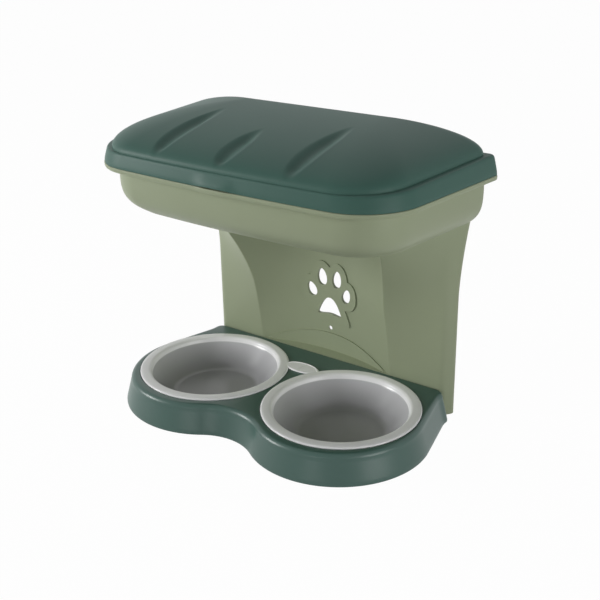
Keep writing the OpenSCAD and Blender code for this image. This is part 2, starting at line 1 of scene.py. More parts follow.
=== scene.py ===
"""Looks of a dog feeder: a floor tray with two bowls, a support with a paw cut-out and a lidded food bin.

Lengths in the classes are millimetres, and y is measured from the line through the bowls' centres. The feeder's
own frame has its origin further back, under the middle of its depth, so every mesh is moved there when it is made.
"""

import enum
import logging
import math
from dataclasses import dataclass, field

import bpy
import numpy as np
from mathutils import Matrix, Vector

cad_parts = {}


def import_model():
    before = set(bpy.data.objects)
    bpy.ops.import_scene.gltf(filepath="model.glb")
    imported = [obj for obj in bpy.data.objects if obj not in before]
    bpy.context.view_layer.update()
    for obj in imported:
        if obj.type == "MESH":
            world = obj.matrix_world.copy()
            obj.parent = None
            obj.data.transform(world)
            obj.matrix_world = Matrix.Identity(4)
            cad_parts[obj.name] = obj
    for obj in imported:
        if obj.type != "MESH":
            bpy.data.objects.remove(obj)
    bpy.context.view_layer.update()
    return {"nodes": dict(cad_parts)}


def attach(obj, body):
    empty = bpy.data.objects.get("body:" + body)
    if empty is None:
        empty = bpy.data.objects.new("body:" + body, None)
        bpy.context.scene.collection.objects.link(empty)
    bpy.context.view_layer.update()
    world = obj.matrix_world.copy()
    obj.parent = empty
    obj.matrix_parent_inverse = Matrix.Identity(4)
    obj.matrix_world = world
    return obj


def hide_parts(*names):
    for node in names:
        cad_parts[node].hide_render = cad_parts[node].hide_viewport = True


LOG = logging.getLogger("feeder")
MM = 0.001
PLASTIC_IOR = 1.49
DRUM_STEPS = 48


class Body(str, enum.Enum):
    """The bodies that a piece can ride on."""

    STAND = "stand"
    LID = "lid"
    BOWL_LEFT = "bowl_left"
    BOWL_RIGHT = "bowl_right"


class Slot(str, enum.Enum):
    """The record's material slots."""

    LID = "lid_plastic"
    SAGE = "sage_plastic"
    TRAY = "tray_plastic"
    BOWL = "bowl_plastic"
    STEEL = "screw_steel"
    RUBBER = "foot_rubber"


class Side(enum.IntEnum):
    """Which side of the middle plane a piece is on."""

    LEFT = -1
    RIGHT = 1


@dataclass(frozen=True)
class Layout:
    """Sizes that more than one piece is built from."""

    # The bowls and how they hang in the tray.
    bowl_r: float = 115.0
    bowl_pitch: float = 236.0
    bowl_depth: float = 42.0
    bowl_wall: float = 2.5
    bowl_float: float = 3.0
    rim_w: float = 17.0
    rim_t: float = 4.0
    seat_depth: float = 1.5
    seat_gap: float = 0.3
    drop_gap: float = 1.0
    # How far the tray reaches round the bowls, and how far its round lobes are shifted forward.
    tray_margin: float = 18.0
    lobe_fwd: float = 7.0
    tray_back_gap: float = 9.5
    # The support, which is narrower than the tray by a step on each side, and the bin on it.
    support_step: float = 31.0
    support_d: float = 22.0
    support_h: float = 302.0
    bin_h: float = 72.0
    # Feet and screws, with the play that they have in their holes.
    foot_t: float = 1.6
    foot_stem_r: float = 3.0
    foot_stem: float = 6.0
    screw_x: float = 172.0
    bin_screw_out: float = 12.0
    bin_screw_backs: tuple[float, float] = (16.0, 62.0)
    screw_r: float = 2.0
    screw_len: float = 12.0
    hole_gap: float = 0.05

    @property
    def bowl_x(self) -> float:
        """Distance from the middle to a bowl's centre."""
        return self.bowl_pitch / 2

    @property
    def lobe_r(self) -> float:
        """Radius of the tray's round lobes at the foot."""
        return self.bowl_r + self.tray_margin

    @property
    def tray_h(self) -> float:
        """Height of the tray."""
        return self.bowl_float + self.bowl_wall + self.bowl_depth - self.rim_t + self.seat_depth

    @property
    def seat_z(self) -> float:
        """Height of the seats that the rims rest on."""
        return self.tray_h - self.seat_depth

    @property
    def rim_top(self) -> float:
        """Height of the bowls' rims."""
        return self.seat_z + self.rim_t + self.seat_gap

    @property
    def well_r(self) -> float:
        """Radius of the wells that the bowls hang in."""
        return self.bowl_r - self.rim_w + self.bowl_wall + self.drop_gap

    @property
    def screw_hole_r(self) -> float:
        """Radius of the holes for the screws."""
        return self.screw_r + self.hole_gap

    @property
    def stem_hole_r(self) -> float:
        """Radius of the holes for the feet's stems."""
        return self.foot_stem_r + self.hole_gap

    @property
    def bin_screw_places(self) -> list[tuple[float, float]]:
        """Where the four screws go up into the bin's floor."""
        return [(side * (self.screw_x + self.bin_screw_out), self.wall_y - back)
                for side in Side for back in self.bin_screw_backs]

    @property
    def tray_back(self) -> float:
        """Place of the tray's back wall."""
        return self.bowl_r + self.tray_back_gap

    @property
    def support_front(self) -> float:
        """Place of the support's front, at the floor."""
        return self.tray_back + self.seat_gap

    @property
    def wall_y(self) -> float:
        """Place of the wall that the feeder stands against."""
        return self.support_front + self.support_d

    @property
    def support_half(self) -> float:
        """Half the width of the support at the floor."""
        return self.bowl_x + self.lobe_r - self.support_step

    @property
    def y_mid(self) -> float:
        """Place of the origin: the middle of the feeder's depth."""
        return (self.wall_y - self.lobe_fwd - self.lobe_r) / 2

    @property
    def flange_z(self) -> float:
        """Height of the bin's flange."""
        return self.support_h + self.bin_h

    def place(self, points: np.ndarray) -> np.ndarray:
        """Moves points from the bowls' line to the feeder's frame and turns them to metres.

        Args:
            points: an array whose last axis is x, y, z in millimetres.

        Returns:
            The same points in metres, flattened to rows.
        """
        return (points.reshape(-1, 3) - (0.0, self.y_mid, 0.0)) * MM


LAYOUT = Layout()


def unit(vectors: np.ndarray) -> np.ndarray:
    """Vectors of length one along the last axis."""
    return vectors / np.maximum(np.linalg.norm(vectors, axis=-1, keepdims=True), 1e-12)


def smooth_step(share: np.ndarray) -> np.ndarray:
    """A share from 0 to 1 that starts and ends level: 3 s^2 - 2 s^3."""
    share = np.clip(share, 0.0, 1.0)
    return share * share * (3.0 - 2.0 * share)


def arc(centre: tuple[float, float], radius: np.ndarray, start: float, stop: float, count: int) -> np.ndarray:
    """Points on circular arcs.

    The formula is centre + radius * (cos a, sin a), with a from start to stop in even steps.

    Args:
        centre: the centre, either fixed or an array with one row per arc.
        radius: one radius per arc.
        start: first angle in degrees.
        stop: last angle in degrees.
        count: number of points.

    Returns:
        An array of arcs x points x 2.
    """
    angle = np.radians(np.linspace(start, stop, count))
    circle = np.stack([np.cos(angle), np.sin(angle)], -1)
    middle = np.broadcast_to(np.asarray(centre, float), (len(radius), 2))
    return middle[:, None, :] + radius[:, None, None] * circle[None]


def line(start: np.ndarray, stop: np.ndarray, count: int) -> np.ndarray:
    """Straight rows of points, start + s * (stop - start) with s in even steps, without either end.

    Args:
        start: first end of each row.
        stop: last end of each row.
        count: number of points.

    Returns:
        Rows x points x 2.
    """
    share = np.linspace(0.0, 1.0, count + 2)[1:-1, None]
    return start[:, None, :] * (1 - share) + stop[:, None, :] * share


def bezier(a: np.ndarray, b: np.ndarray, c: np.ndarray, d: np.ndarray, count: int) -> np.ndarray:
    """Cubic curves (1-t)^3 a + 3t(1-t)^2 b + 3t^2(1-t) c + t^3 d, one per row.

    Args:
        a: first end of each curve.
        b: point that the curve leaves towards.
        c: point that the curve arrives from.
        d: last end of each curve.
        count: number of points.

    Returns:
        Rows x points x 2.
    """
    t = np.linspace(0.0, 1.0, count)[:, None]
    a, b, c, d = (p[:, None, :] for p in (a, b, c, d))
    return (1 - t) ** 3 * a + 3 * t * (1 - t) ** 2 * b + 3 * t * t * (1 - t) * c + t**3 * d


def whole(half: np.ndarray) -> np.ndarray:
    """Closes right halves, which run from x = 0 back to x = 0, with their mirror images.

    Args:
        half: rows x points x 2, the first and last point on the middle plane.

    Returns:
        Rows of closed outlines, each point once.
    """
    return np.concatenate([half, half[:, -2:0:-1] * (-1.0, 1.0)], 1)


def rounded(corners: list[tuple[float, ...]], radii: list[float], steps: int = 5) -> np.ndarray:
    """A profile through corner points whose corners are rounded.

    Each corner is replaced by the curve (1-t)^2 a + 2t(1-t) p + t^2 b, where a and b lie one radius before and
    after the corner p. The curve never reaches past the middle of its two edges.

    Args:
        corners: the corner points, with any number of coordinates.
        radii: one radius for each corner that isn't an end.
        steps: points on each rounded corner.

    Returns:
        The profile as an array of points.
    """
    points = np.array(corners, float)
    t = np.linspace(0.0, 1.0, steps)[:, None]
    pieces = [points[:1]]
    for before, corner, after, radius in zip(points[:-2], points[1:-1], points[2:], radii):
        reach_a = min(radius, np.linalg.norm(before - corner) * 0.48)
        reach_b = min(radius, np.linalg.norm(after - corner) * 0.48)
        a = corner + unit(before - corner) * reach_a
        b = corner + unit(after - corner) * reach_b
        pieces.append((1 - t) ** 2 * a + 2 * t * (1 - t) * corner + t * t * b)
    pieces.append(points[-1:])
    return np.concatenate(pieces)


def at_heights(plan: np.ndarray, z: np.ndarray) -> np.ndarray:
    """Rings from plan outlines and one height for each of them."""
    return np.concatenate([plan, np.broadcast_to(z[:, None, None], plan.shape[:2] + (1,))], -1)


def ring_quads(rows: int, columns: int, closed: bool = True) -> np.ndarray:
    """The four-sided faces between neighbouring rows of points.

    Args:
        rows: number of rows.
        columns: points in a row.
        closed: whether each row's last point joins its first.

    Returns:
        An array of faces x 4 indices.
    """
    row = np.arange(rows - 1)[:, None] * columns
    column = np.arange(columns if closed else columns - 1)[None, :]
    following = (column + 1) % columns
    corners = [row + column, row + following, row + columns + following, row + columns + column]
    return np.stack(corners, -1).reshape(-1, 4)


def signed_volume(points: np.ndarray, faces: list[list[int]]) -> float:
    """Six times the volume inside closed faces: the sum of a . (b x c) over their triangles.

    Args:
        points: the corner points.
        faces: index lists.

    Returns:
        The sum, negative where the faces point inwards.
    """
    total = 0.0
    by_size: dict[int, list[list[int]]] = {}
    for face in faces:
        by_size.setdefault(len(face), []).append(face)
    for size, group in by_size.items():
        index = np.array(group)
        for k in range(1, size - 1):
            a, b, c = points[index[:, 0]], points[index[:, k]], points[index[:, k + 1]]
            total += float(np.einsum("ij,ij->", a, np.cross(b, c)))
    return total


def solid(name: str, points: np.ndarray, faces: list[list[int]]) -> bpy.types.Object:
    """Makes a closed mesh from points in millimetres, with its faces turned outwards.

    Args:
        name: the piece's name.
        points: the corner points, from the line through the bowls' centres.
        faces: index lists, all wound the same way.

    Returns:
        The new object, linked to the scene.
    """
    placed = LAYOUT.place(points)
    if signed_volume(placed, faces) < 0:
        faces = [face[::-1] for face in faces]
    mesh = bpy.data.meshes.new(name)
    mesh.from_pydata(placed.tolist(), [], faces)
    mesh.update()
    made = bpy.data.objects.new(name, mesh)
    bpy.context.scene.collection.objects.link(made)
    return made


def skin(name: str, rings: np.ndarray) -> bpy.types.Object:
    """A closed solid through a stack of closed outlines, with one flat face at each end.

    Args:
        name: the piece's name.
        rings: rows x points x 3, in millimetres.

    Returns:
        The new object.
    """
    rows, columns = rings.shape[:2]
    faces = ring_quads(rows, columns).tolist()
    faces.append(list(range(columns))[::-1])
    faces.append(list(range((rows - 1) * columns, rows * columns)))
    return solid(name, rings, faces)


def skin_strip(name: str, rings: np.ndarray) -> bpy.types.Object:
    """A closed solid through thin folded outlines, whose two ends are closed by a strip of faces.

    The strip joins each point of the first half of an outline to the one that lies behind it in the second half.

    Args:
        name: the piece's name.
        rings: rows x points x 3, each row out along one face of the wall and back along the other.

    Returns:
        The new object.
    """
    rows, columns = rings.shape[:2]
    faces = ring_quads(rows, columns).tolist()
    i = np.arange(columns // 2 - 1)
    cap = np.stack([i, i + 1, columns - 2 - i, columns - 1 - i], -1)
    faces += cap[:, ::-1].tolist() + (cap + (rows - 1) * columns).tolist()
    return solid(name, rings, faces)


def lathe(name: str, profile: np.ndarray, centre: tuple[float, float], steps: int = 160) -> bpy.types.Object:
    """Turns a profile that starts and ends on the axis round that axis.

    Point (r, z) at angle a becomes centre + (r cos a, r sin a) at height z.

    Args:
        name: the piece's name.
        profile: radius and height pairs, the first and last of them with radius 0.
        centre: where the upright axis is.
        steps: points round the axis.

    Returns:
        The new object.
    """
    angle = np.linspace(0.0, 2 * np.pi, steps, endpoint=False)
    inner = profile[1:-1]
    x = centre[0] + inner[:, :1] * np.cos(angle)
    y = centre[1] + inner[:, :1] * np.sin(angle)
    rings = np.stack([x, y, np.broadcast_to(inner[:, 1:], x.shape)], -1)
    poles = np.array([[*centre, profile[0, 1]], [*centre, profile[-1, 1]]])
    points = np.concatenate([rings.reshape(-1, 3), poles])
    around = np.arange(steps)
    following = (around + 1) % steps
    low, high, last = len(points) - 2, len(points) - 1, (len(inner) - 1) * steps
    faces = ring_quads(len(inner), steps).tolist()
    faces += np.stack([following, around, np.full(steps, low)], -1).tolist()
    faces += np.stack([last + around, last + following, np.full(steps, high)], -1).tolist()
    return solid(name, points, faces)


def prism(name: str, outline: np.ndarray, low: np.ndarray, high: np.ndarray) -> bpy.types.Object:
    """A solid between two copies of an outline, moved by the vectors low and high."""
    return skin(name, np.stack([outline + low, outline + high]))


def drum(name: str, centre: tuple[float, float, float], radius: float, length: float, axis: str = "Z",
         steps: int = DRUM_STEPS) -> bpy.types.Object:
    """A round bar, centre + radius * (cos a, sin a), that runs along +Y or +Z.

    Args:
        name: the piece's name.
        centre: the middle of its first end.
        radius: its radius.
        length: how far it runs.
        axis: Y or Z.
        steps: points round the bar.

    Returns:
        The new object.
    """
    angle = np.linspace(0.0, 2 * np.pi, steps, endpoint=False)
    zero = np.zeros(steps)
    if axis == "Z":
        outline = np.stack([radius * np.cos(angle), radius * np.sin(angle), zero], -1)
        along = np.array([0.0, 0.0, length])
    else:
        outline = np.stack([radius * np.cos(angle), zero, radius * np.sin(angle)], -1)
        along = np.array([0.0, length, 0.0])
    start = np.array(centre)
    return prism(name, outline, start, start + along)


def sweep(name: str, path: np.ndarray, radius: float, sides: int = 14) -> bpy.types.Object:
    """A round bar along an open path.

    At each point the circle lies in the plane of the vector across the path and the vector at right angles to both.

    Args:
        name: the piece's name.
        path: points x 3.
        radius: the bar's radius.
        sides: points round the bar.

    Returns:
        The new object.
    """
    tangent = unit(np.gradient(path, axis=0))
    across = unit(np.cross(tangent, np.array([0.0, 0.0, 1.0])))
    up = np.cross(across, tangent)
    angle = np.linspace(0.0, 2 * np.pi, sides, endpoint=False)[None, :, None]
    rings = path[:, None] + radius * (np.cos(angle) * across[:, None] + np.sin(angle) * up[:, None])
    return skin(name, rings)


def combine(piece: bpy.types.Object, others: list[bpy.types.Object], operation: str) -> bpy.types.Object:
    """Adds other solids to a piece, or cuts them away from it, and removes them.

    Args:
        piece: the solid that is kept.
        others: the solids that are used up.
        operation: UNION, DIFFERENCE or INTERSECT.

    Returns:
        The piece, with its new mesh.
    """
    for other in others:
        modifier = piece.modifiers.new("work", "BOOLEAN")
        modifier.operation = operation
        modifier.solver = "MANIFOLD"
        modifier.object = other
    graph = bpy.context.evaluated_depsgraph_get()
    result = bpy.data.meshes.new_from_object(piece.evaluated_get(graph))
    old = piece.data
    piece.modifiers.clear()
    piece.data = result
    bpy.data.meshes.remove(old)
    for other in others:
        mesh = other.data
        bpy.data.objects.remove(other)
        bpy.data.meshes.remove(mesh)
    return piece


def shade(piece: bpy.types.Object, angle: float = 32.0) -> bpy.types.Object:
    """Shades a piece smooth, with sharp edges where two faces meet at more than an angle.

    Args:
        piece: the piece.
        angle: the angle in degrees.

    Returns:
        The same piece.
    """
    piece.data.shade_smooth()
    piece.data.set_sharp_from_angle(angle=math.radians(angle))
    return piece


def dress(piece: bpy.types.Object, name: str, body: Body, material: bpy.types.Material,
          nodes: tuple[str, ...] = ()) -> bpy.types.Object:
    """Names a finished piece, gives it its material, seats it on its body and reports it.

    Args:
        piece: the piece.
        name: what a person would call it.
        body: the body that it rides on.
        material: its material.
        nodes: the solids that it stands for.

    Returns:
        The piece.
    """
    piece.name = name
    piece.data.name = name
    piece.data.materials.clear()
    piece.data.materials.append(material)
    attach(piece, body.value)
    if nodes:
        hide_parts(*nodes)
    LOG.info("%s: %d faces on %s", name, len(piece.data.polygons), body.value)
    return piece


def linear(code: str) -> tuple[float, float, float, float]:
    """Turns an sRGB hex colour into linear values.

    Args:
        code: six hex digits.

    Returns:
        Linear red, green and blue, and an alpha of 1.
    """
    share = [int(code[i:i + 2], 16) / 255 for i in (0, 2, 4)]
    values = [c / 12.92 if c <= 0.04045 else ((c + 0.055) / 1.055) ** 2.4 for c in share]
    return values[0], values[1], values[2], 1.0


def add_node(tree: bpy.types.NodeTree, kind: str, settings: dict[str, object] | None = None,
             **links: object) -> bpy.types.Node:
    """Adds a shader node, sets it up and links its inputs.

    Args:
        tree: the material's node tree.
        kind: the node's type name.
        settings: properties of the node, such as an operation.
        links: inputs by name, with spaces as underscores; an output socket is linked, and a value is set.

    Returns:
        The node.
    """
    node = tree.nodes.new(kind)
    for key, value in (settings or {}).items():
        setattr(node, key, value)
    for key, value in links.items():
        socket = node.inputs[int(key[1:])] if key[1:].isdigit() else node.inputs[key.replace("_", " ")]
        if isinstance(value, bpy.types.NodeSocket):
            tree.links.new(value, socket)
        else:
            socket.default_value = value
    return node


def bare_material(name: str) -> tuple[bpy.types.Material, bpy.types.NodeTree]:
    """A new material whose node tree is still empty."""
    material = bpy.data.materials.new(name)
    material.use_nodes = True
    material.node_tree.nodes.clear()
    return material, material.node_tree


@dataclass(frozen=True)
class MouldedPlastic:
    """Injection-moulded polypropylene from a spark-eroded tool.

    The tool leaves an even, pebbled grain, which breaks highlights into a soft satin sheen. The pellets' colour
    is even, with only a faint cloudiness where the melt cooled at different speeds.
    """

    name: str
    colour: str
    cloud_colour: str
    roughness: float
    grain_mm: float = 1.3
    grain_height_mm: float = 0.05
    cloud_mm: float = 90.0
    roughness_spread: float = 0.05
    gloss: float = 0.3

    def make(self) -> bpy.types.Material:
        """Builds the material."""
        material, tree = bare_material(self.name)
        place = add_node(tree, "ShaderNodeTexCoord").outputs["Object"]
        cloud = add_node(tree, "ShaderNodeTexNoise", Vector=place, Scale=1 / (self.cloud_mm * MM), Detail=2.0)
        grain = add_node(tree, "ShaderNodeTexNoise", Vector=place, Scale=1 / (self.grain_mm * MM), Detail=3.0,
                         Roughness=0.6)
        tint = add_node(tree, "ShaderNodeMix", {"data_type": "RGBA"}, Factor=cloud.outputs["Fac"],
                        _6=linear(self.colour), _7=linear(self.cloud_colour))
        rough = add_node(tree, "ShaderNodeMapRange", Value=grain.outputs["Fac"],
                         To_Min=self.roughness - self.roughness_spread, To_Max=self.roughness + self.roughness_spread)
        bump = add_node(tree, "ShaderNodeBump", Strength=0.5, Distance=self.grain_height_mm * MM,
                        Height=grain.outputs["Fac"])
        shader = add_node(tree, "ShaderNodeBsdfPrincipled", Base_Color=tint.outputs[2],
                          Roughness=rough.outputs["Result"], Normal=bump.outputs["Normal"], IOR=PLASTIC_IOR,
                          Specular_IOR_Level=self.gloss)
        add_node(tree, "ShaderNodeOutputMaterial", Surface=shader.outputs["BSDF"])
        return material


@dataclass(frozen=True)
class PolishedPlastic:
    """Polypropylene from a polished tool in light grey, with painted shade that makes it darker down in the hollow.

    The colour darkens with height as painted shade, over a few millimetres just under the rim, and more slowly towards
    the floor. The surface is smooth, with only the slight waviness that a thick moulding keeps when it cools.
    """

    name: str
    # The rim colour is the plastic's light grey; the wall and floor colours are painted shade for the hollow.
    rim_colour: str
    painted_shade_wall_colour: str
    floor_colour: str
    roughness: float = 0.24
    wave_mm: float = 14.0
    wave_height_mm: float = 0.08
    rim_under_mm: float = 6.5
    rim_fade_mm: float = 1.5

    def make(self) -> bpy.types.Material:
        """Builds the material."""
        material, tree = bare_material(self.name)
        place = add_node(tree, "ShaderNodeTexCoord").outputs["Object"]
        height = add_node(tree, "ShaderNodeSeparateXYZ", Vector=place).outputs["Z"]
        top, floor = LAYOUT.rim_top * MM, (LAYOUT.rim_top - LAYOUT.bowl_depth) * MM
        rim_ends = top - self.rim_under_mm * MM
        smooth = {"interpolation_type": "SMOOTHSTEP"}
        # Painted shade: the colour steps darker just under the rim and fades darker still towards the floor.
        deep = add_node(tree, "ShaderNodeMapRange", smooth, Value=height, From_Min=floor, From_Max=top)
        edge = add_node(tree, "ShaderNodeMapRange", smooth, Value=height,
                        From_Min=rim_ends - self.rim_fade_mm * MM, From_Max=rim_ends)
        hollow = add_node(tree, "ShaderNodeMix", {"data_type": "RGBA"}, Factor=deep.outputs["Result"],
                          _6=linear(self.floor_colour), _7=linear(self.painted_shade_wall_colour))
        tint = add_node(tree, "ShaderNodeMix", {"data_type": "RGBA"}, Factor=edge.outputs["Result"],
                        _6=hollow.outputs[2], _7=linear(self.rim_colour))
        wave = add_node(tree, "ShaderNodeTexNoise", Vector=place, Scale=1 / (self.wave_mm * MM), Detail=1.0)
        bump = add_node(tree, "ShaderNodeBump", Strength=0.25, Distance=self.wave_height_mm * MM,
                        Height=wave.outputs["Fac"])
        shader = add_node(tree, "ShaderNodeBsdfPrincipled", Base_Color=tint.outputs[2], Roughness=self.roughness,
                          Normal=bump.outputs["Normal"], IOR=PLASTIC_IOR)
        add_node(tree, "ShaderNodeOutputMaterial", Surface=shader.outputs["BSDF"])
        return material


@dataclass(frozen=True)
class ZincSteel:
    """Zinc-plated steel, barrel plated: bright grey metal that shows small dull patches from tumbling."""

    name: str = "zinc_plated_steel"
    colour: str = "B9BBBE"
    dull_colour: str = "8F9296"
    roughness: float = 0.32
    roughness_spread: float = 0.08
    dulling: float = 0.14
    patch_mm: float = 1.2

    def make(self) -> bpy.types.Material:
        """Builds the material."""
        material, tree = bare_material(self.name)
        place = add_node(tree, "ShaderNodeTexCoord").outputs["Object"]
        patch = add_node(tree, "ShaderNodeTexNoise", Vector=place, Scale=1 / (self.patch_mm * MM), Detail=4.0)
        tint = add_node(tree, "ShaderNodeMix", {"data_type": "RGBA"}, Factor=patch.outputs["Fac"],
                        _6=linear(self.colour), _7=linear(self.dull_colour))
        rough = add_node(tree, "ShaderNodeMapRange", Value=patch.outputs["Fac"],
                         To_Min=self.roughness - self.roughness_spread, To_Max=self.roughness + self.dulling)
        shader = add_node(tree, "ShaderNodeBsdfPrincipled", Base_Color=tint.outputs[2], Metallic=1.0,
                          Roughness=rough.outputs["Result"])
        add_node(tree, "ShaderNodeOutputMaterial", Surface=shader.outputs["BSDF"])
        return material


@dataclass(frozen=True)
class FootRubber:
    """Moulded black rubber: matt, with a dusting of pale bloom and a fine sandy grain."""

    name: str = "moulded_rubber"
    colour: str = "1C1C1D"
    bloom_colour: str = "343536"
    roughness: float = 0.82
    grain_mm: float = 0.7
    grain_height_mm: float = 0.12

    def make(self) -> bpy.types.Material:
        """Builds the material."""
        material, tree = bare_material(self.name)
        place = add_node(tree, "ShaderNodeTexCoord").outputs["Object"]
        grain = add_node(tree, "ShaderNodeTexNoise", Vector=place, Scale=1 / (self.grain_mm * MM), Detail=3.0)
        tint = add_node(tree, "ShaderNodeMix", {"data_type": "RGBA"}, Factor=grain.outputs["Fac"],
                        _6=linear(self.colour), _7=linear(self.bloom_colour))
        bump = add_node(tree, "ShaderNodeBump", Strength=0.6, Distance=self.grain_height_mm * MM,
                        Height=grain.outputs["Fac"])
        shader = add_node(tree, "ShaderNodeBsdfPrincipled", Base_Color=tint.outputs[2], Roughness=self.roughness,
                          Normal=bump.outputs["Normal"])
        add_node(tree, "ShaderNodeOutputMaterial", Surface=shader.outputs["BSDF"])
        return material


@dataclass(frozen=True)
class BinOutline:
    """Plan outline that the bin and the lid share: straight sides that close in towards a bowed front."""

    half_w: float = 270.0
    taper: float = 21.0
    front: float = 116.0
    bow: float = 8.4
    # The front corners: how much edge each takes up, how much less on inner outlines, and how full the curve is.
    corner: float = 74.0
    corner_shrink: float = 0.4
    pull: float = 0.56
    back_step: float = 1.0
    lip_w: float = 34.0
    face_points: int = 84

    def at(self, side: np.ndarray, front: np.ndarray, back: np.ndarray, back_r: float = 4.0) -> np.ndarray:
        """Outlines moved in from the flange's edge.

        From the back's middle the line runs to a small round corner, along the side, round a cubic curve, and
        along the front, whose bow is y = y_front + bow * (x / half_width)^2.

        Args:
            side: distance inwards at the sides, one value per outline.
            front: distance inwards at the front.
            back: distance inwards at the back.
            back_r: radius of the back corners.

        Returns:
            Outlines x points x 2.
        """
        side, front, back = (np.atleast_1d(np.asarray(v, float)) for v in (side, front, back))
        wide = self.half_w - side
        narrow = wide - self.taper
        y_back = LAYOUT.wall_y - self.back_step - back
        y_front = front - self.front
        corner = np.stack([narrow, y_front + self.bow], -1)
        along = unit(np.stack([wide, y_back], -1) - corner)
        turn = self.corner - self.corner_shrink * side
        start = corner + turn[:, None] * along
        x_face = narrow - turn
        stop = np.stack([x_face, y_front + self.bow * (x_face / narrow) ** 2], -1)
        slope = unit(np.stack([np.ones_like(narrow), 2 * self.bow * x_face / narrow**2], -1))
        reach = self.pull * turn[:, None]
        centre = np.stack([wide - back_r, y_back - back_r], -1)
        round_back = arc(centre, np.full(len(wide), back_r), 90, 0, 9)
        middle = np.stack([np.zeros_like(wide), y_back], -1)
        back_line = line(middle, round_back[:, 0], 40)
        side_line = line(round_back[:, -1], start, 26)
        curve = bezier(start, start - reach * along, stop + reach * slope, stop, 44)
        x = x_face[:, None] * np.linspace(1, 0, self.face_points + 1)[None, 1:]
        face = np.stack([x, y_front[:, None] + self.bow * (x / narrow[:, None]) ** 2], -1)
        half = np.concatenate([middle[:, None], back_line, round_back, side_line, curve, face], 1)
        return whole(half)

    def lip(self, outline: np.ndarray) -> np.ndarray:
        """Share of the finger lip at each point: exp(-2 (x / half width)^4) along the front, 0 elsewhere."""
        return np.where(outline[..., 1] > 0, 0.0, np.exp(-2 * (outline[..., 0] / self.lip_w) ** 4))


